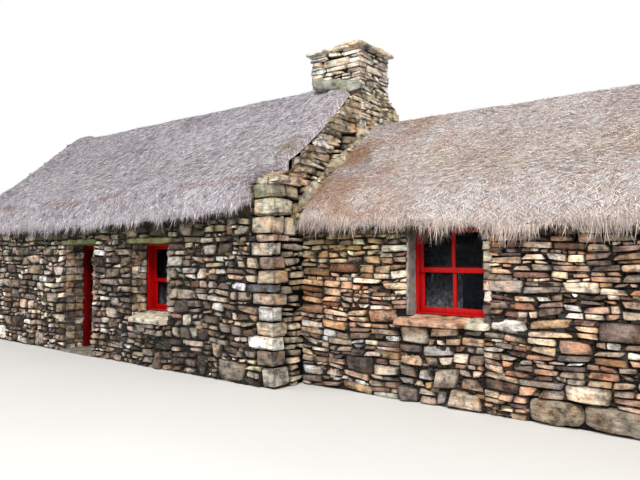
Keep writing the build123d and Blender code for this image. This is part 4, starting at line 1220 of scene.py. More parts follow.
long_ring = [(low[0], low[1] + 0.01, low[2]), (joint_x, low[1] + 0.02, low[2] + 0.006),
             (joint_x, BYRE_INNER_EDGE, low[2]), (low[0], BYRE_INNER_EDGE, low[2])]
short_ring = [(far_x, low[1] + 0.045, low[2] + 0.012), (high[0], low[1] + 0.05, low[2] + 0.004),
              (high[0], BYRE_INNER_EDGE, low[2]), (far_x, BYRE_INNER_EDGE, low[2])]
inner_rings = box_rings((byre_pane_low[0], BYRE_INNER_EDGE, low[2]), (high[0], high[1], low[2] + 0.1))
single_stones("byre_window_sill_stones", "byre_window_sill", [
    rough_stone(long_ring, raised(long_ring, 0.068, 0.062, 0.117, 0.117), 31, 0.011, 19, 9.0, PINK_SHADE),
    rough_stone(short_ring, raised(short_ring, 0.066, 0.06, 0.117, 0.117), 32, 0.008, 13, 9.0, SILL_SHADE),
    rough_stone(*inner_rings, 33, 0.004, 9, 14.0, SILL_SHADE * 0.6)], sill_stone)

# %% [markdown]
# ## Chimney cap and drip stone
# The cap is a ring of thin flags in two uneven layers that oversail the stack. The drip stone is a
# thick slab let into the stack where it leaves the thatch; it throws rain off the joint. It is
# tilted, high at the left, and rounded like a field boulder.

# %% Cap flags and drip stone
rng = np.random.default_rng(23)
CAP_SHADE, DRIP_SHADE = screen((188, 185, 173), (130, 132, 126))
(x0, y0, z0), (x1, y1, _) = corners("chimney_cap")
FLUE_HALF, bottom = 0.15, z0 - 0.012
lower_flags = (
    (x0, x0 + 0.44, y0, -FLUE_HALF), (x0 + 0.45, x1 - 0.26, y0 + 0.02, -FLUE_HALF), (x1 - 0.25, x1, y0, 0.02),
    (x1 - 0.27, x1 - 0.01, 0.03, y1), (x0 + 0.3, x1 - 0.28, FLUE_HALF, y1 - 0.01), (x0 + 0.01, x0 + 0.29, 0.0, y1),
    (x0 + 0.02, x0 + 0.36, -FLUE_HALF + 0.01, -0.01))
upper_flags = ((x0 + 0.3, x0 + 0.66, y0 + 0.05, -FLUE_HALF - 0.02), (x0 + 0.6, x1 - 0.06, y0 + 0.02, -FLUE_HALF - 0.01),
               (x1 - 0.3, x1 - 0.04, -0.1, y1 - 0.05))
cap_parts = []
for seed, (a, b, c, d) in enumerate(lower_flags, start=40):
    lift = rng.uniform(-0.004, 0.012, 4)
    low_ring = raised(box_rings((a, c, bottom), (b, d, bottom))[0], *lift)
    high_ring = raised(low_ring, *[0.038] * 4)
    cap_parts.append(rough_stone(low_ring, high_ring, seed, 0.006, 13, 10.0, CAP_SHADE * rng.uniform(0.8, 1.05)))
for k, (a, b, c, d) in enumerate(upper_flags):
    rings = box_rings((a, c, bottom + 0.04), (b, d, bottom + 0.072 + 0.006 * k))
    cap_parts.append(rough_stone(*rings, 60 + k, 0.007, 13, 9.0, CAP_SHADE * rng.uniform(0.85, 1.05)))
single_stones("chimney_cap_flags", "chimney_cap", cap_parts, sill_stone)

drip_finish = stone_material("drip_finish", 0.7, 0.3, 0.4, 0.5, 0.012)
(x0, front_y, _), (x1, wall_y, _) = corners("chimney_drip_stone")
drip_ring = [(x0, front_y), (x1, front_y - 0.01), (x1, wall_y), (x0, wall_y)]
rings = [[(x, y, z) for (x, y), z in zip(drip_ring, heights)]
         for heights in ((4.03, 3.83, 3.97, 4.03), (4.19, 3.975, 4.05, 4.21))]
single_stones("drip_stone", "chimney_drip_stone", [rough_stone(*rings, 71, 0.016, 19, 4.5, DRIP_SHADE)], drip_finish)


# %% [markdown]
# ## Painted joinery
# The windows are sliding sashes in a box frame: the upper sash stands in front of the lower one and
# the two meet in a pair of rails. All the wood is planed, so each member is a box with a small
# rounded arris. The paint is a thick gloss, duller where it has weathered and worn at the arrises.

# %% Planed boards
def planed(lows, highs, arris, shade=(0.5, 0.5, 0.5)):
    """Boxes with a rounded arris: each point is the inner box plus arris times its outward direction."""
    lows, highs = np.array(lows, float), np.array(highs, float)
    grid, faces = cube_grid((-1, -0.5, 0.5, 1))
    outward = np.where(np.abs(grid) > 0.9, np.sign(grid), 0.0)
    outward = outward / np.linalg.norm(outward, axis=1)[:, None]
    centre, half = (lows + highs) / 2, (highs - lows) / 2 - arris
    points = centre[:, None] + np.sign(grid)[None] * half[:, None] + outward[None] * arris
    edge = np.where(np.abs(outward).max(1) < 0.99, 0.4, 1.0)
    return (points.reshape(-1, 3), repeated(faces, len(lows), len(grid)),
            shaded(np.broadcast_to(shade, points.shape), edge))


def paint_material(name, shade, worn, bare):
    """Oil paint on wood: streaks run up the grain, arrises wear through to the bare colour."""
    material, tree = new_material(name)
    streak = noise(tree, 9.0, 4.0, 0.6, stretch=(3.0, 3.0, 0.35))
    patch = noise(tree, 3.5, 3.0, 0.6)
    colour = blend_colours(tree, ramp(tree, streak, 0.35, 0.75), (*shade, 1), (*worn, 1))
    edge = mesh_shade(tree)[1]
    rub = maths(tree, "MULTIPLY", ramp(tree, edge, 0.9, 0.4), ramp(tree, patch, 0.5, 0.62))
    feed(tree, {"Base Color": blend_colours(tree, rub, colour, (*bare, 1)),
                "Roughness": ramp(tree, patch, 0.3, 0.7, 0.32, 0.54), "Specular IOR Level": 0.15},
         maths(tree, "ADD", streak, maths(tree, "MULTIPLY", rub, -0.6)), 0.0012)
    return material


red_paint = paint_material("red_paint", *screen((176, 8, 10), (140, 6, 9), (120, 90, 76)))
# Painted shade: the door frame's red is a much darker copy of the window red, for the frame set back in the doorway.
door_red_in_painted_shade = paint_material("door_red_in_painted_shade", *screen((102, 2, 4), (80, 2, 3), (90, 60, 50)))
leaf_paint = paint_material("leaf_paint", *screen((190, 10, 14), (150, 8, 10), (110, 80, 66)))
print("paints:", red_paint.name, door_red_in_painted_shade.name, leaf_paint.name)

# %% [markdown]
# ## Windows
# Old panes are thin, a little wavy and smeared, and behind them it is dark. The glass is therefore a
# nearly black, glossy sheet that lets some light through where it is clean. Each window is built from
# its limits, so one recipe makes both, although their bars differ.

# %% Sash windows
glass_finish, tree = new_material("window_glass")
smear = noise(tree, 14.0, 4.0, 0.65)
feed(tree, {"Base Color": (*screen(6, 11, 20), 1.0), "IOR": 1.5, "Specular IOR Level": 0.14,
            "Alpha": ramp(tree, smear, 0.35, 0.75, 0.32, 0.6), "Roughness": ramp(tree, smear, 0.5, 0.8, 0.02, 0.16)},
     noise(tree, 3.0, 1.0, 0.4), 0.006)


def sash_window(name, meeting, box_wide, stile, bar, foot, set_back=0.0):
    """Box frame, upper sash in front, lower sash behind, each with two panes; and the panes.

    set_back is how far the sashes run behind the front edge of their box.
    """
    (x0, y0, z0), (x1, y1, z1) = corners(name + "_frame")
    y_mid, y1 = y0 + set_back + 0.028, y1 + set_back
    left, right, middle = x0 + box_wide, x1 - box_wide, (x0 + x1) / 2
    members = [(x0, left, y0, y1, z0, z1), (right, x1, y0, y1, z0, z1), (left, right, y0, y1, z1 - box_wide, z1),
               (left, right, y0 - 0.006, y1, z0, z0 + 0.018)]
    for ya, yb, za, zb, rail_low, rail_high in (
            (y_mid - 0.022, y_mid - 0.001, meeting - 0.036, z1 - box_wide, 0.055, stile),
            (y_mid + 0.001, y1 - 0.002, z0 + 0.018, meeting + 0.034, foot, 0.05)):
        members += [(left, left + stile, ya, yb, za, zb), (right - stile, right, ya, yb, za, zb),
                    (left + stile, right - stile, ya, yb, za, za + rail_low),
                    (left + stile, right - stile, ya, yb, zb - rail_high, zb),
                    (middle - bar / 2, middle + bar / 2, ya, yb - 0.004, za + rail_low, zb - rail_high)]
    sheets = [(xa, xb, y, y + 0.004, za, zb)
              for y, za, zb in ((y_mid - 0.013, meeting + 0.012, z1 - box_wide - stile + 0.007),
                                (y_mid + 0.012, z0 + foot + 0.011, meeting - 0.009))
              for xa, xb in ((left + stile - 0.007, middle - bar / 2 + 0.007),
                             (middle + bar / 2 - 0.007, right - stile + 0.007))]
    members, sheets = np.array(members), np.array(sheets)
    make_piece(name + "_sashes", planed(members[:, ::2], members[:, 1::2], 0.003, screen(176, 14, 18)), red_paint,
               (name + "_frame",), 50)
    make_piece(name + "_panes", planed(sheets[:, ::2], sheets[:, 1::2], 0.0005), glass_finish,
               (name + "_glass",), 30)


sash_window("byre_window", 1.43, 0.045, 0.055, 0.04, 0.06)
sash_window("house_window", 1.215, 0.03, 0.045, 0.032, 0.06, 0.1)

# %% [markdown]
# ## Lace half curtains
# In the lower panes something pale and openwork hangs close behind the glass. It is made as a half
# curtain of cotton lace on a thin rod, hanging in shallow folds. The cloth is cut wider than the
# window and gathered; the folds are a sine whose depth grows towards the hem.

# %% Curtains
lace, tree = new_material("cotton_lace")
mesh_cells = tree.nodes.new("ShaderNodeTexVoronoi")
mesh_cells.feature = "DISTANCE_TO_EDGE"
mesh_cells.inputs["Scale"].default_value = 90.0
tree.links.new(tree.nodes.new("ShaderNodeTexCoord").outputs["Object"], mesh_cells.inputs["Vector"])
sprigs = noise(tree, 26.0, 2.0, 0.5)
threads = maths(tree, "MAXIMUM", ramp(tree, mesh_cells.outputs["Distance"], 0.16, 0.08), ramp(tree, sprigs, 0.5, 0.56))
cotton = blend_colours(tree, ramp(tree, sprigs, 0.45, 0.6), (0.7, 0.75, 0.82, 1), (0.95, 0.97, 1.0, 1))
feed(tree, {"Base Color": blend_colours(tree, 1.0, cotton, mesh_shade(tree)[0], "MULTIPLY"),
            "Alpha": maths(tree, "MULTIPLY", threads, 0.92), "Roughness": 0.95}, threads, 0.0006)

rod_finish, tree = new_material("drawn_rod")
grime = noise(tree, 60.0, 3.0, 0.6)
feed(tree, {"Base Color": blend_colours(tree, grime, (0.30, 0.27, 0.2, 1), (0.16, 0.13, 0.09, 1)), "Metallic": 0.8,
            "Roughness": ramp(tree, grime, 0.3, 0.7, 0.35, 0.6)})


def half_curtain(name, box_wide, rod_z, hem_z, folds, depth, seed, drawn, set_back=0.0):
    """One gathered curtain behind the lower panes and the rod that it hangs on; drawn is the share of the
    window that it covers, from the left.

    Across the window the cloth follows y = y0 + d(z) sin(2 pi folds s) with d growing towards the hem.
    """
    low, high = corners(name + "_frame")
    x0, x1, y0 = low[0] + box_wide + 0.01, high[0] - box_wide - 0.01, high[1] + set_back + 0.032
    x1 = x0 + (x1 - x0) * drawn
    s = np.linspace(0, 1, folds * 16 + 1)
    drop = np.linspace(0, 1, 15)
    sway = flat_noise(s * folds, np.zeros_like(s), 1.7, seed)
    wave = np.sin(2 * np.pi * folds * s + 0.8 * sway)
    deep = depth * (0.55 + 0.45 * drop)[:, None] * (1 + 0.25 * sway)[None]
    x = x0 + (x1 - x0) * (s[None] + 0 * drop[:, None])
    z = rod_z + (hem_z - rod_z) * drop[:, None] + 0 * x
    points = np.stack([x, y0 + deep * wave[None], z], -1)
    quads = grid_faces(*x.shape)[:, [0, 3, 2, 1]]
    # Painted shade and light: the lace's colour rises from 0.06 at the rod to full at the hem.
    glow = 0.06 + 0.94 * np.repeat(drop ** 2.4, len(s))
    cloth = make_piece(name + "_curtain", (points.reshape(-1, 3), quads, shaded(np.repeat(glow[:, None], 3, 1))), lace)
    turn = np.linspace(0, 2 * np.pi, 9)[:-1]
    ends = [np.stack([np.full(8, x), y0 + 0.005 * np.cos(turn), rod_z + 0.005 * np.sin(turn)], 1)
            for x in (low[0] + 0.004, high[0] - 0.004)]
    ring = np.arange(8)
    sides = np.stack([ring, np.roll(ring, -1), np.roll(ring, -1) + 8, ring + 8], 1)
    caps = [[0, 3, 2, 1], [0, 5, 4, 3], [0, 7, 6, 5], [8, 9, 10, 11], [8, 11, 12, 13], [8, 13, 14, 15]]
    rod = make_piece(name + "_curtain_rod", (np.concatenate(ends), np.concatenate([sides, caps]), None), rod_finish)


half_curtain("byre_window", 0.045, 1.40, 1.0, 7, 0.013, 5, 0.58)
half_curtain("house_window", 0.03, 1.19, 0.83, 8, 0.011, 9, 1.0, 0.1)

# %% [markdown]
# ## The sides of the byre window
# The left side of the byre window is smoothed with grey render, while its right side shows the ends
# of the wall stones. Render is mortar laid on by hand, so it is one rough stone with a fine surface.

# %% Render strip and jamb stones
render_finish = stone_material("grey_render", 0.5, 0.05, 0.15, 0.6, 0.008)
strip_low = (byre_pane_low[0] - 0.02, -BYRE_HALF + 0.015, byre_sill_top - 0.01)
strip_high = (byre_pane_low[0] + 0.008, byre_pane_low[1] + 0.02, byre_head_level - 0.002)
strip = rough_stone(*box_rings(strip_low, strip_high), 81, 0.005, 17, 12.0, screen(132, 130, 128))
rng = np.random.default_rng(29)
jamb_beds = bed_lines(rng, [byre_sill_top - 0.04, byre_head_level], 0.1)
n = len(jamb_beds) - 1
jamb_low = np.stack([rng.uniform(-0.075, -0.05, n) + byre_pane_high[0], rng.uniform(-0.012, 0.012, n) - BYRE_HALF,
                     jamb_beds[:-1] + 0.003], 1)
jamb_high = np.stack([np.full(n, byre_pane_high[0] + 0.03), np.full(n, byre_pane_low[1] - 0.012),
                      jamb_beds[1:] - 0.003], 1)
jamb = block_shapes(rng, jamb_low, jamb_high, stone_shades(rng, n, BYRE_STONES, 0.35), SPLIT_ROUND, 0.008, 0.05)
make_piece("byre_window_jamb_stones", jamb, byre_stone, sharp=38)
make_piece("byre_window_render", strip, render_finish, sharp=40)

# %% [markdown]
# ## Door leaf
# The door is five planks nailed to three ledges and hung on iron straps. It stands open against the
# west jamb, so its edge shows as a dark line behind the frame. It rides on the door's own body, so
# that it swings with the measured hinge straps.

# %% Door leaf
(x0, y0, z0), (x1, y1, z1) = corners("door_leaf")
plank_face = x1 - 0.04
plank_edges = np.linspace(y0, y1, 6)
lows = [(plank_face, a + 0.001, z0) for a in plank_edges[:-1]]
highs = [(x1, b - 0.001, z1) for b in plank_edges[1:]]
ledge_middles = (z0 + 0.23, (z0 + z1) / 2, z1 - 0.23)
for level in ledge_middles:
    lows.append((x0, y0 + 0.06, level - 0.06))
    highs.append((plank_face, y1 - 0.06, level + 0.06))
for level in ledge_middles:
    for y in np.concatenate([plank_edges[:-1] + 0.035, plank_edges[1:] - 0.035]):
        lows.append((x1 - 0.002, y - 0.006, level - 0.006))
        highs.append((x1 + 0.003, y + 0.006, level + 0.006))
make_piece("plank_door", planed(lows, highs, 0.0022, screen(120, 6, 12)), leaf_paint, ("door_leaf",), 50,
           "door")

# %% [markdown]
# ## Iron, roof timber and flags
# The measured frame, straps, pintles, roof timbers and flags are right as they are and keep their
# shape. They only get finishes: wrought iron with rust in patches, smoked timber with the grain
# along the building, and flagstone.

# %% Finishes of the measured pieces
iron_finish, tree = new_material("wrought_iron")
scale_noise = noise(tree, 45.0, 5.0, 0.65)
rust = ramp(tree, scale_noise, 0.45, 0.65)
feed(tree, {"Base Color": blend_colours(tree, rust, (0.03, 0.028, 0.027, 1), (0.16, 0.06, 0.025, 1)),
            "Metallic": maths(tree, "SUBTRACT", 0.75, maths(tree, "MULTIPLY", rust, 0.7)),
            "Roughness": ramp(tree, scale_noise, 0.3, 0.7, 0.45, 0.9)}, scale_noise, 0.001)

timber_finish, tree = new_material("smoked_timber")
grain = noise(tree, 14.0, 5.0, 0.65, stretch=(0.25, 2.0, 2.0))
feed(tree, {"Base Color": blend_colours(tree, grain, (0.10, 0.06, 0.035, 1), (0.035, 0.024, 0.018, 1)),
            "Roughness": ramp(tree, grain, 0.3, 0.7, 0.7, 0.9)}, grain, 0.004)


def refinish(material, *names):
    """Puts a new finish on measured pieces."""
    for name in names:
        for slot in nodes[name].material_slots:
            slot.material = material
    print("finish", material.name, "on", *names)


refinish(door_red_in_painted_shade, "door_frame")
refinish(iron_finish, "door_hinge_straps", "door_pintles")
refinish(timber_finish, "house_couples", "house_purlins", "byre_couples", "byre_purlins")
refinish(flagstone, "door_step", "house_floor")
refinish(inner_wall, "chimney_breast")


# %% [markdown]
# ## The shape of the thatch
# Straw is laid from the eave upwards in coats, pinned down and combed. The eave rolls over in a
# thick round nose, the slope is nearly straight and the ridge is a low dome. The profile is the
# same one the measured roof was made with; here it gets lumps, combed hollows and the crease where
# the bottom coat ends. Hair particles could make straw too, but ribbons worked out with numpy are
# ordinary mesh, keep their colour per straw and come out the same on every run.

# %% Thatch profile
EAVE_REACH, EAVE_LIP, ROLL_IN = 0.15, 0.07, 0.48
RIDGE_HALF, RIDGE_FALL = 0.36, 0.215
UNDER_CUTS, NOSE_CUTS, SLOPE_CUTS, DOME_CUTS = 4, 22, 34, 8

def thatch_section(roof, lift, tuck):
    """Half section from the wall face over the nose to the ridge line, as arrays (places, points).

    The nose is a quarter ellipse standing on the tip: y = tip - a (1 - cos w), z = tip + b sin w + y-rise
    by the pitch; the slope is straight; the dome falls as a power of the distance from the ridge.
    """
    lift, tuck = np.asarray(lift)[:, None], np.asarray(tuck)[:, None]
    half, head, ridge = roof["half"], roof["head"], roof["ridge"]
    tip_y, tip_z = half + EAVE_REACH - tuck, head - roof["drop"] + lift + roof["tip_up"]
    nose_y, nose_z = half - ROLL_IN, head + roof["roll_rise"] + lift * 0.3
    crest_y, crest_z = RIDGE_HALF, ridge - RIDGE_FALL
    pitch = (crest_z - nose_z) / (nose_y - crest_y)
    under = np.linspace(0, 1, UNDER_CUTS, endpoint=False)[None]
    under_y = half - 0.06 + (tip_y - half + 0.06) * under
    under_z = head - EAVE_LIP + 0.03 + (tip_z - head + EAVE_LIP - 0.03) * under
    turn = np.linspace(0, np.pi / 2, NOSE_CUTS, endpoint=False)[None]
    along = (tip_y - nose_y) * (1 - np.cos(turn))
    meet = along + 0.62 * (along[:, -1:] - along)
    nose = tip_z + (nose_z - tip_z - meet * pitch) * np.sin(turn) + along * pitch
    slope = np.linspace(0, 1, SLOPE_CUTS, endpoint=False)[None]
    out = RIDGE_HALF * (1 - np.linspace(0, 1, DOME_CUTS))[None]
    power = RIDGE_HALF * pitch / RIDGE_FALL
    dome = ridge - RIDGE_FALL * (out / RIDGE_HALF) ** power
    y = np.concatenate([under_y, tip_y - along, nose_y + (crest_y - nose_y) * slope + 0 * tip_y, out + 0 * tip_y], 1)
    z = np.concatenate([under_z, nose, nose_z + (crest_z - nose_z) * slope, dome], 1)
    place = np.arange(y.shape[1])
    soft = 0.5 * np.clip(1 - np.abs(place - UNDER_CUTS - NOSE_CUTS) / 9, 0, 1)[1:-1] ** 0.5
    for _ in range(24):
        for line in (y, z):
            line[:, 1:-1] += soft * ((line[:, :-2] + line[:, 2:]) / 2 - line[:, 1:-1])
    return y, z


# %% [markdown]
# ## Lumps, hollows and laps
# An old roof is lumpy where coats overlap and hollow where rain has combed it, and its ends lap over
# the gable edges. The section is swept along the roof on a fine grid and each point is moved along
# its normal. A displacement texture would look alike, but straws could not be rooted on it.

# %% Surface of a slope
GRID_STEP = 0.042

def thatch_grid(roof, side):
    """Displaced surface of one slope: points (along, down the profile, xyz), distances from the tip, normals.

    Past its span the straw laps over the gable edge: it rises by 65 mm, its nose is drawn in behind the
    corner stones, and its end rounds down as h (1 - sqrt(1 - d^2)).
    """
    x0, x1 = roof["span"]
    start, stop = x0 - roof["lap"][0], x1 + roof["lap"][1]
    x = np.linspace(start, stop, int((stop - start) / GRID_STEP) + 1)
    share = np.clip((x - x0) / (x1 - x0), 0, 1)
    stations = np.array(roof["stations"])
    lift = np.interp(share, stations[:, 0], stations[:, 1])
    tuck = np.interp(share, stations[:, 0], stations[:, 2])
    y, z = thatch_section(roof, lift, tuck)
    for edge, outward, lap in ((x0, -1, roof["lap"][0]), (x1, 1, roof["lap"][1])):
        if lap > 0:
            past = (x - edge) * outward
            z = z + 0.065 * np.clip((past + 0.12) / 0.12, 0, 1)[:, None] ** 2
            drawn = np.clip((past + 0.08) / 0.08, 0, 1)[:, None]
            limit = roof["half"] + EAVE_REACH - (0.36 + EAVE_REACH) * (1 - np.sqrt(1 - drawn ** 2))
            y = np.minimum(y, limit)
            end = np.clip((past - lap + 0.13) / 0.13, 0, 1)[:, None]
            z = z - 0.13 * (1 - np.sqrt(1 - end ** 2))
    if roof["sweep"] is not None:
        from_x, reach_x, at_y, wide, high = roof["sweep"]
        near = np.clip((x - from_x) / reach_x, 0, 1)[:, None]
        z = z + high * near ** 2 * (3 - 2 * near) * np.exp(-((y - at_y) / wide) ** 2)
    points = np.stack([np.broadcast_to(x[:, None], y.shape), side * y, z], -1)
    step = np.linalg.norm(np.diff(points, axis=1), axis=2)
    walk = np.concatenate([np.zeros((len(x), 1)), np.cumsum(step, 1)], 1).mean(0)
    walk = walk - walk[UNDER_CUTS]
    across, down = np.gradient(points, axis=0), np.gradient(points, axis=1)
    normal = np.cross(across, down) * -side
    normal /= np.linalg.norm(normal, axis=2, keepdims=True)
    place_x, place_q = np.broadcast_arrays(x[:, None], walk[None])
    seed = roof["seed"] + (5 if side > 0 else 0)
    lumps = 0.024 * flat_noise(place_x, place_q, 0.55, seed) + 0.011 * flat_noise(place_x, place_q, 0.19, seed + 1)
    combed = 0.002 * flat_noise(place_x * 5, place_q, 0.34, seed + 2)
    line = roof["crease"] + 0.05 * flat_noise(place_x, 0 * place_q, 0.9, seed + 3)
    thin = np.clip(0.7 + flat_noise(place_x, 0 * place_q, 0.5, seed + 4), 0, 1)
    groove = -roof["step"] * np.exp(-((place_q - line) / 0.028) ** 2) * thin
    calm = np.clip((place_q + 0.02) / 0.12, 0, 1) * np.clip((walk[-1] - place_q) / 0.15, 0, 1)
    return points + normal * ((lumps + combed + groove) * calm)[..., None], walk, normal


def on_grid(grid, walk, normal, x, q):
    """Point and normal of the surface at places x along and q from the tip, between the grid's points."""
    i = np.clip(np.interp(x, grid[:, 0, 0], np.arange(len(grid))), 0, len(grid) - 1.001)
    j = np.clip(np.interp(q, walk, np.arange(len(walk))), 0, len(walk) - 1.001)
    a, b = i.astype(int), j.astype(int)
    s, t = (i - a)[..., None], (j - b)[..., None]

    def read(field):
        """Bilinear value of a field of the grid."""
        return ((field[a, b] * (1 - s) + field[a + 1, b] * s) * (1 - t)
                + (field[a, b + 1] * (1 - s) + field[a + 1, b + 1] * s) * t)

    return read(grid), read(normal)


# %% [markdown]
# ## The colour of straw
# New straw is warm and pale; weather turns it silver grey, rain off a gable rusty, and moss settles
# where it stays damp. Each straw draws its colour from a palette, and slow noise and the distance
# from the tip change it, so the stains are soft while every straw stays crisp.

# %% Straw colours
OLD_STRAW = screen((202, 192, 206), (184, 174, 187), (219, 211, 220), (162, 152, 160), (196, 184, 188),
                   (228, 220, 227))
NEW_STRAW = screen((226, 208, 202), (214, 194, 184), (236, 221, 216), (199, 176, 166), (224, 208, 209),
                   (236, 222, 226))
# The third colour is painted shade: the dark brown of straw in the shade under the eave and between straws.
RUST_STRAW, STRAW_IN_SHADE, MOSS_STRAW = screen((172, 130, 92), (58, 46, 36), (140, 128, 92))
print("straw colours:", len(OLD_STRAW), "old and", len(NEW_STRAW), "new")


def straw_shades(rng, roof, x, q, side):
    """Colour per straw: a palette entry, darker in slow patches, rusty near the gable, with painted shade along the
    crease, pale at the eave.
    """
    count = len(x)
    palette = roof["palette"]
    shade = palette[rng.integers(0, len(palette), count)] * np.exp(rng.normal(-0.03, roof["motley"], (count, 1)))
    slow = flat_noise(x, q * 0.8, 0.8, roof["seed"] + 11 + side)[:, None]
    fine = flat_noise(x, q * 0.5, 0.16, roof["seed"] + 12 + side)[:, None]
    shade = shade * (1 + 0.16 * slow + 0.12 * fine)
    warm = np.exp(-((q - 1.15) / 0.5) ** 2) * np.clip(0.6 + flat_noise(x, q, 0.7, roof["seed"] + 17), 0, 1)
    shade = shade * (1 + roof["warm"] * warm[:, None] * np.array([0.02, -0.03, -0.13]))
    near = np.clip(1 - (x - roof["rust_at"]) * roof["rust_way"] / roof["rust_wide"], 0, 1)
    rust = near * np.clip(0.52 + 0.9 * flat_noise(x, q, 0.35, roof["seed"] + 13), 0, 1) * roof["rust"]
    shade = shade + (RUST_STRAW - shade) * np.clip(rust, 0, 0.8)[:, None]
    moss_x, moss_q, moss = roof["moss"]
    close = np.clip(1 - np.abs(x - moss_x) / 0.17, 0, 1) * np.clip(1.6 - np.abs(q - moss_q) / 0.22, 0, 1) * moss
    moss = close * np.clip(0.8 + flat_noise(x, q, 0.2, roof["seed"] + 14), 0, 1)
    shade = shade + (MOSS_STRAW - shade) * np.clip(moss, 0, 0.85)[:, None]
    # Painted shade: a darker brownish line along the crease where the bottom coat ends.
    line = np.exp(-((q - roof["crease"] - 0.05 * flat_noise(x, 0 * q, 0.9, roof["seed"] + 3)) / 0.035) ** 2)
    line = line * np.clip(0.3 + 1.2 * flat_noise(x, q, 0.45, roof["seed"] + 15), 0, 1) * roof["step"] / 0.012
    shade = shade + (RUST_STRAW * 0.75 - shade) * np.clip(line, 0, 0.42)[:, None]
    pale = np.clip(1 - q / 0.22, 0, 1)[:, None] * 0.2
    return np.clip(shade + (roof["tips"] - shade) * pale, 0.01, 0.8)


# %% [markdown]
# ## Straws
# A straw is a narrow ribbon: two points across for every step along its path. On the slope one quad
# each is enough, because there are tens of thousands; at the eave they hang over the nose and bend.

# %% Straw ribbons
def ribbons(path, width, normal, roll, shades, tip=0.25, light=(0.8, 0.97, 1.06)):
    """Thin strips along paths (n, sections, 3); each section is path -+ width/2 along a rolled side vector.

    The side vector is the cross product of the run and the normal, turned about the run by roll.
    """
    n, sections = path.shape[:2]
    run = np.gradient(path, axis=1)
    run /= np.linalg.norm(run, axis=2, keepdims=True) + 1e-9
    side = np.cross(run, normal)
    side /= np.linalg.norm(side, axis=2, keepdims=True) + 1e-9
    raised = np.cross(side, run)
    turned = side * np.cos(roll)[:, None, None] + raised * np.sin(roll)[:, None, None]
    t = np.linspace(0, 1, sections)
    taper = np.interp(t, [0, 0.25, 0.7, 1], [0.6, 1.0, 0.9, tip])[None, :, None]
    reach = turned * width[:, None, None] / 2 * taper
    points = np.stack([path - reach, path + reach], 2).reshape(n, sections * 2, 3)
    step = np.arange(sections - 1)[:, None] * 2
    local = np.concatenate([step, step + 1, step + 3, step + 2], 1)
    # Painted light and shade along each straw: its colour is scaled by the light factors from root to end, by default
    # darker at the root and lighter at the free end.
    light = np.repeat(np.interp(t, [0, 0.3, 1], light), 2)
    return (points.reshape(-1, 3), repeated(local, n, sections * 2),
            shaded(np.clip(shades[:, None] * light[:, None], 0, 1)))


def slope_straws(rng, roof, side, surface, count, wide=1.0):
    """Straws lying down the slope, each rooted at random and lifting a little at its lower end.

    wide makes fewer, broader straws cover the same slope.
    """
    grid, walk, normal = surface
    x = rng.uniform(grid[0, 0, 0] + 0.01, grid[-1, 0, 0] - 0.01, count)
    if roof["lap"][1] > 0:
        x[: count // 14] = grid[-1, 0, 0] - 0.002 - rng.uniform(0, 1, count // 14) ** 2 * 0.06
    q = rng.uniform(0.03, walk[-1] + 0.02, count)
    length = rng.uniform(0.012, 0.05, count) * (1 + 0.6 * np.exp(-q / 0.25))
    comb = 0.2 * flat_noise(x, q, 0.3, roof["seed"] + 21) + rng.normal(0, 1.1, count)
    t = np.linspace(0, 1, 2)[None]
    place_x = x[:, None] + comb[:, None] * length[:, None] * t
    place_x = np.clip(place_x, grid[0, 0, 0] + 0.001, grid[-1, 0, 0] - 0.001)
    place_q = q[:, None] - length[:, None] * t
    path, out = on_grid(grid, walk, normal, place_x, np.maximum(place_q, -0.02))
    lift = rng.uniform(0.001, 0.010, (count, 1)) + rng.gamma(1.6, 0.0035, (count, 1)) * t ** 1.5
    drop = np.minimum(place_q + 0.02, 0.0)
    path = path + out * lift[..., None]
    path[..., 2] += drop
    shades = straw_shades(rng, roof, x, q - length / 2, side)
    return ribbons(path, wide * rng.uniform(0.0055, 0.010, count), out, rng.normal(0, 0.45, count), shades, 0.5)


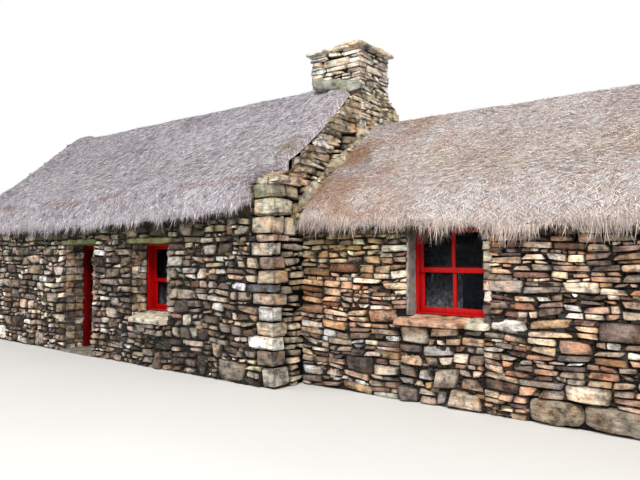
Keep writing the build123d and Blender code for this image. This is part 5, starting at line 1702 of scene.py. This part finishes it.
def eave_straws(rng, roof, side, surface, count):
    """Straw ends hanging from the nose: they leave along the surface and bend down as t^2."""
    grid, walk, normal = surface
    x = rng.uniform(roof["span"][0] + 0.005, roof["span"][1] - 0.02, count)
    q = rng.uniform(-0.1, 0.16, count)
    clump = flat_noise(x, q * 0.6, 0.085, roof["seed"] + 31 + side)
    wide = flat_noise(x, 0 * x, 0.6, roof["seed"] + 32 + side)
    under = q < -0.01
    wave = np.interp(x, *roof["wave"]) + roof["waver"] * wide
    length = roof["fringe"] * np.clip(0.75 + 0.6 * clump + wave, 0.08, 2.4) * (0.25 + rng.exponential(0.55, count))
    beard = roof["beard"] * (1 + 0.8 * clump) * rng.uniform(0.2, 1.3, count)
    length = np.clip(np.where(under, beard, length + np.clip(q, 0, 1) * 0.9), 0.025, 0.22)
    root, out = on_grid(grid, walk, normal, x, q)
    ahead, _ = on_grid(grid, walk, normal, x, q - 0.03)
    start = ahead - root
    start = np.where(q[:, None] < 0.02, np.array([0, side * 0.35, -1.0]), start)
    start /= np.linalg.norm(start, axis=1, keepdims=True)
    lean = (0.6 * flat_noise(x, q, 0.09, roof["seed"] + 33) + rng.normal(0, np.where(under, 0.5, 0.28), count))
    t = np.linspace(0, 1, 4)[None, :, None]
    end = np.stack([lean, side * rng.normal(0.1, 0.16, count), -np.ones(count)], 1)
    path = root[:, None] + length[:, None, None] * (start[:, None] * t * (1 - 0.45 * t) + end[:, None] * t ** 2 * 0.55)
    shades = roof["tips"] * np.exp(rng.normal(-0.1, 0.28, (count, 1)) + 0.25 * clump[:, None])
    shades = shades + (roof["palette"][0] - shades) * rng.uniform(0, 0.6, (count, 1))
    # Painted shade: the short straws under the nose take the dark brown of straw in shade.
    shades = np.where(under[:, None], STRAW_IN_SHADE * np.exp(rng.normal(0.2, 0.5, (count, 1))), shades)
    outward = np.repeat((out + np.array([0, side * 0.6, 0]))[:, None], 4, 1)
    # Painted shade: the hanging ends darken towards their tips.
    return ribbons(path, rng.uniform(0.004, 0.008, count), outward, rng.normal(0, 0.7, count), shades, 0.15,
                   (0.92, 0.92, 0.62))


def thatch_skin(roof, side, surface, rng, first, last):
    """The surface itself as quads from profile point first to last, painted at half the straws' colour as shade between
    them.
    """
    grid, walk, _ = surface
    grid, walk = grid[:, first:last], walk[first:last]
    nx, nq = grid.shape[:2]
    quads = grid_faces(nx, nq)[:, [0, 3, 2, 1]]
    if side > 0:
        quads = quads[:, ::-1]
    x = np.repeat(grid[:, 0, 0], nq)
    q = np.tile(walk, nx)
    shade = straw_shades(rng, roof, x, q, side) * 0.5
    # Painted shade: under the tip the skin darkens further to half the colour of straw in shade.
    deep = np.clip((0.03 - q) / 0.06, 0, 1)[:, None]
    shade = shade + (STRAW_IN_SHADE * 0.5 - shade) * deep
    return grid.reshape(-1, 3), quads, shaded(shade)

# %% [markdown]
# ## Straw finish
# Straw is dull and fibrous. The mesh gives each straw its colour, and a noise stretched across the
# building breaks it into fibres that run down the slope, with a little pale dust.

# %% Straw material
def straw_material(name, gloss):
    """Straw: the mesh's own colours, broken by fine fibres that run down the slope."""
    material, tree = new_material(name)
    fibre = noise(tree, 45.0, 4.0, 0.75, stretch=(3.5, 1.0, 1.0))
    speck = noise(tree, 120.0, 2.0, 0.6)
    dark = ramp(tree, fibre, 0.36, 0.6, 0.58, 1.16)
    colour = blend_colours(tree, 1.0, mesh_shade(tree)[0], dark, "MULTIPLY")
    dust = maths(tree, "MULTIPLY", ramp(tree, speck, 0.55, 0.7), 0.25)
    feed(tree, {"Base Color": blend_colours(tree, dust, colour, (*screen(190, 182, 172), 1)),
                "Roughness": ramp(tree, fibre, 0.3, 0.7, 0.72, 0.95), "Specular IOR Level": gloss}, fibre, 0.006)
    return material

old_straw, new_straw = straw_material("old_straw", 0.2), straw_material("new_straw", 0.25)
print("straw finishes:", old_straw.name, new_straw.name)

# %% [markdown]
# ## Both roofs
# The house keeps an old grey coat; the byre's is newer and warmer, with longer ends at the eave and
# a rusty stain where rain runs off the gable. Each slope is one piece: the skin, the straws on it and
# the fringe. The ridge is a piece of its own, as it is on the measured model.

# %% Lay the thatch
house_thatch_low, house_thatch_high = corners("house_thatch_front")
byre_thatch_low, byre_thatch_high = corners("byre_thatch_front")
house_roof = dict(
    name="house", half=HOUSE_HALF, head=HOUSE_HEAD, ridge=HOUSE_RIDGE, drop=0.135, roll_rise=0.76, tip_up=0.105,
    span=(house_thatch_low[0], house_thatch_high[0]), crease=0.43, motley=0.5, fringe=0.075, wave=((0, 1), (0, 0)),
    waver=0.35, warm=0.3, beard=0.1, seed=300, palette=OLD_STRAW, tips=screen(206, 198, 200), step=0.012,
    stations=((0, 0, 0.02), (0.46, -0.01, 0), (0.87, 0.06, 0.01), (1, 0.15, 0.04)),
    lap=(0.35, 0.33), sweep=(-0.45, 0.7, 0.55, 0.3, 0.07), rust_at=MIDDLE, rust_wide=0.8, rust_way=-1, rust=0.16,
    moss=(MIDDLE - 0.22, 1.1, 1.2))
byre_roof = dict(
    name="byre", half=BYRE_HALF, head=BYRE_HEAD, ridge=BYRE_RIDGE, drop=0.265, roll_rise=0.56, tip_up=0.19,
    span=(byre_thatch_low[0], byre_thatch_high[0]), crease=0.52, motley=0.33, fringe=0.085,
    wave=((1.2, 1.85, 2.3, 2.8, 3.4, 3.6, 3.75, 4.0, 4.12, 4.3, 4.42, 4.6, 4.85, 5.0, 5.4, 5.8),
          (0.5, 0.2, -0.1, -0.25, -0.2, 0.5, 1.2, 0.9, 0.0, -0.3, 0.4, 1.0, 0.9, 0.2, 0.0, 0.3)),
    waver=0.12, warm=1.0, beard=0.13, seed=500, palette=NEW_STRAW, tips=screen(208, 191, 180), step=0.005,
    stations=((0, 0.08, 0.08), (0.13, 0.035, 0.015), (0.53, -0.06, 0), (1, 0.01, 0.02)),
    lap=(0.0, 0.0), sweep=None, rust_at=MIDDLE, rust_wide=1.7, rust_way=1, rust=1.25,
    moss=(MIDDLE, 1.0, 0.4))
for roof, straw, straws, ends, slot in ((house_roof, old_straw, (52000, 19000), (8000, 3500), "thatch_old"),
                                        (byre_roof, new_straw, (50000, 17000), (9000, 3500), "thatch_new")):
    ridge_parts = []
    for face, (side, label) in enumerate(((-1, "front"), (1, "back"))):
        rng = np.random.default_rng(roof["seed"] + side)
        surface = thatch_grid(roof, side)
        slope = merged(thatch_skin(roof, side, surface, rng, 0, -DOME_CUTS + 1),
                       slope_straws(rng, roof, side, surface, straws[face], 1.0 if side < 0 else 1.6),
                       eave_straws(rng, roof, side, surface, ends[face]))
        make_piece(f"{roof['name']}_straw_{label}", slope, straw, (f"{roof['name']}_thatch_{label}",))
        ridge_parts.append(thatch_skin(roof, side, surface, rng, -DOME_CUTS, None))
    make_piece(f"{roof['name']}_straw_ridge", merged(*ridge_parts), straw, (f"{roof['name']}_thatch_ridge",))


# %% [markdown]
# ## Mortar between the byre thatch and the gable
# The joint where the lower thatch meets the gable is packed with mortar and small stones. The band
# follows the thatch surface, its width and height come from slow noise, and its surface is lumpy, so
# it reads as hand-thrown mortar and not as a moulding.

# %% Packed joint
joint_finish = stone_material("packed_mortar", 0.8, 0.1, 0.4, 0.6, 0.03)

def packed_joint(roof, side, seed):
    """Lumpy band up the gable: point = thatch line + across * width * t + up * rise * (1 - t)^1.4 + lumps."""
    grid, walk, normal = thatch_grid(roof, side)
    q = np.linspace(0.0, walk[-1] - 0.28, 130)
    t = np.linspace(0, 1, 9)[None]
    line, out = on_grid(grid, walk, normal, np.full(len(q), MIDDLE + 0.01), q)
    width = 0.055 + 0.05 * np.clip(0.6 + flat_noise(q, 0 * q, 0.22, seed), 0, 1.6)
    rise = 0.035 + 0.06 * np.clip(0.5 + flat_noise(q, 0 * q, 0.17, seed + 1), 0, 1.6)
    points = np.repeat(line[:, None], 9, 1) + out[:, None] * (rise[:, None] * (1 - t) ** 1.4)[..., None]
    points[..., 0] = MIDDLE + 0.004 + width[:, None] * t
    lump = 0.012 * flat_noise(np.repeat(q[:, None], 9, 1), width[:, None] * t, 0.06, seed + 2)
    lump += 0.006 * flat_noise(np.repeat(q[:, None], 9, 1), width[:, None] * t, 0.025, seed + 3)
    points += out[:, None] * (lump * np.minimum(4 * t, 1) * np.minimum(6 * (1 - t) + 0.2, 1))[..., None]
    points[:, -1] -= out * 0.02
    points[:, 0, 0] = MIDDLE - 0.03
    quads = grid_faces(len(q), 9)[:, [0, 3, 2, 1]]
    if side < 0:
        quads = quads[:, ::-1]
    tone = 1 + 0.3 * flat_noise(points[..., 1].ravel(), points[..., 2].ravel(), 0.07, seed + 4)
    low_down = np.clip(1 - np.repeat(q, 9) / 0.7, 0, 1)[:, None]
    shade = screen(150, 144, 128) * (1 - 0.55 * low_down) * tone[:, None]
    band = (points.reshape(-1, 3), quads, shaded(np.clip(shade, 0.01, 0.8)))
    rng = np.random.default_rng(seed)
    place = rng.uniform(0.05, walk[-1] - 0.4, 16)
    spot, away = on_grid(grid, walk, normal, np.full(16, MIDDLE + 0.04), place)
    spot = spot + away * 0.02 + np.stack([rng.uniform(-0.01, 0.03, 16), np.zeros(16), np.zeros(16)], 1)
    half = rng.uniform(0.022, 0.05, (16, 3)) * np.array([0.8, 1.3, 0.7])
    stones = block_shapes(rng, spot - half, spot + half, stone_shades(rng, 16, GABLE_STONES, 0.3), (3.0, 6.0), 0.006, 0.2)
    return merged(band, stones)


for side, label in ((-1, "front"), (1, "back")):
    make_piece(f"packed_joint_{label}", packed_joint(byre_roof, side, 900 + side), joint_finish,
               (f"byre_fillet_{label}",), 60)


# %% [markdown]
# ## Floor
# The cottage stands on a plain pale floor that keeps its shadow. Far from the building the floor
# turns, for the camera only, into the same white as the sky, as the paper sweep of a studio does,
# so there is no hard horizon. The light on the building doesn't change by that.

# %% Floor
floor_mesh = bpy.data.meshes.new("pale_floor")
floor_mesh.from_pydata([(-60, -60, 0), (60, -60, 0), (60, 60, 0), (-60, 60, 0)], [], [(0, 1, 2, 3)])
floor = bpy.data.objects.new("pale_floor", floor_mesh)
scene.collection.objects.link(floor)
floor_paint, tree = new_material("floor_paint")
cloudy = noise(tree, 0.6, 3.0, 0.5)
feed(tree, {"Base Color": blend_colours(tree, cloudy, (0.60, 0.59, 0.57, 1), (0.64, 0.63, 0.61, 1)),
            "Roughness": 0.9})
distance = tree.nodes.new("ShaderNodeVectorMath")
distance.operation = "LENGTH"
tree.links.new(tree.nodes.new("ShaderNodeTexCoord").outputs["Object"], distance.inputs[0])
seen = tree.nodes.new("ShaderNodeLightPath").outputs["Is Camera Ray"]
sweep = maths(tree, "MULTIPLY", ramp(tree, distance.outputs["Value"], 13.0, 32.0), seen)
white = tree.nodes.new("ShaderNodeEmission")
both = tree.nodes.new("ShaderNodeMixShader")
tree.links.new(sweep, both.inputs[0])
tree.links.new(tree.nodes["Principled BSDF"].outputs[0], both.inputs[1])
tree.links.new(white.outputs[0], both.inputs[2])
tree.links.new(both.outputs[0], tree.nodes["Material Output"].inputs["Surface"])
floor.data.materials.append(floor_paint)
print("floor:", floor_mesh.name, "120 m wide")

# %% [markdown]
# ## Light
# Three big square lamps stand for an overcast sky: one from the right front, a weaker one from the
# left, and one behind for the roofs at the back. The world adds an even level. What the camera, a
# reflection or glass sees of the world is plain white, and what lights the stone is less than half.

# %% World and lamps
world = bpy.data.worlds.new("studio")
scene.world = world
world.use_nodes = True
tree = world.node_tree
background = tree.nodes["Background"]
path = tree.nodes.new("ShaderNodeLightPath")
seen = maths(tree, "MAXIMUM", path.outputs["Is Camera Ray"],
             maths(tree, "MAXIMUM", path.outputs["Is Glossy Ray"], path.outputs["Is Transmission Ray"]))
strength = ramp(tree, seen, 0.0, 1.0, 0.45, 1.0)
tree.links.new(strength, background.inputs["Strength"])
background.inputs["Color"].default_value = (1.0, 1.0, 1.0, 1.0)


def soft_lamp(name, location, target, size, power, shade=(1.0, 1.0, 1.0)):
    """A square area lamp at location, turned to look at target."""
    lamp = bpy.data.lights.new(name, "AREA")
    lamp.shape = "SQUARE"
    lamp.size = size
    lamp.energy = power
    lamp.color = shade
    holder = bpy.data.objects.new(name, lamp)
    scene.collection.objects.link(holder)
    holder.location = location
    away = np.array(target, float) - np.array(location, float)
    flat = math.hypot(away[0], away[1])
    holder.rotation_euler = (math.atan2(flat, -away[2]), 0.0, math.atan2(-away[0], away[1]))
    return holder


soft_lamp("key", (9.0, -14.0, 15.0), (0.0, -1.0, 1.5), 7.0, 5000.0, (1.0, 0.99, 0.97))
soft_lamp("fill", (-12.0, -13.0, 8.0), (0.0, 0.0, 1.5), 10.0, 1200.0, (0.95, 0.97, 1.0))
soft_lamp("back", (2.0, 16.0, 13.0), (-1.0, 0.0, 1.5), 10.0, 2200.0, (0.97, 0.98, 1.0))
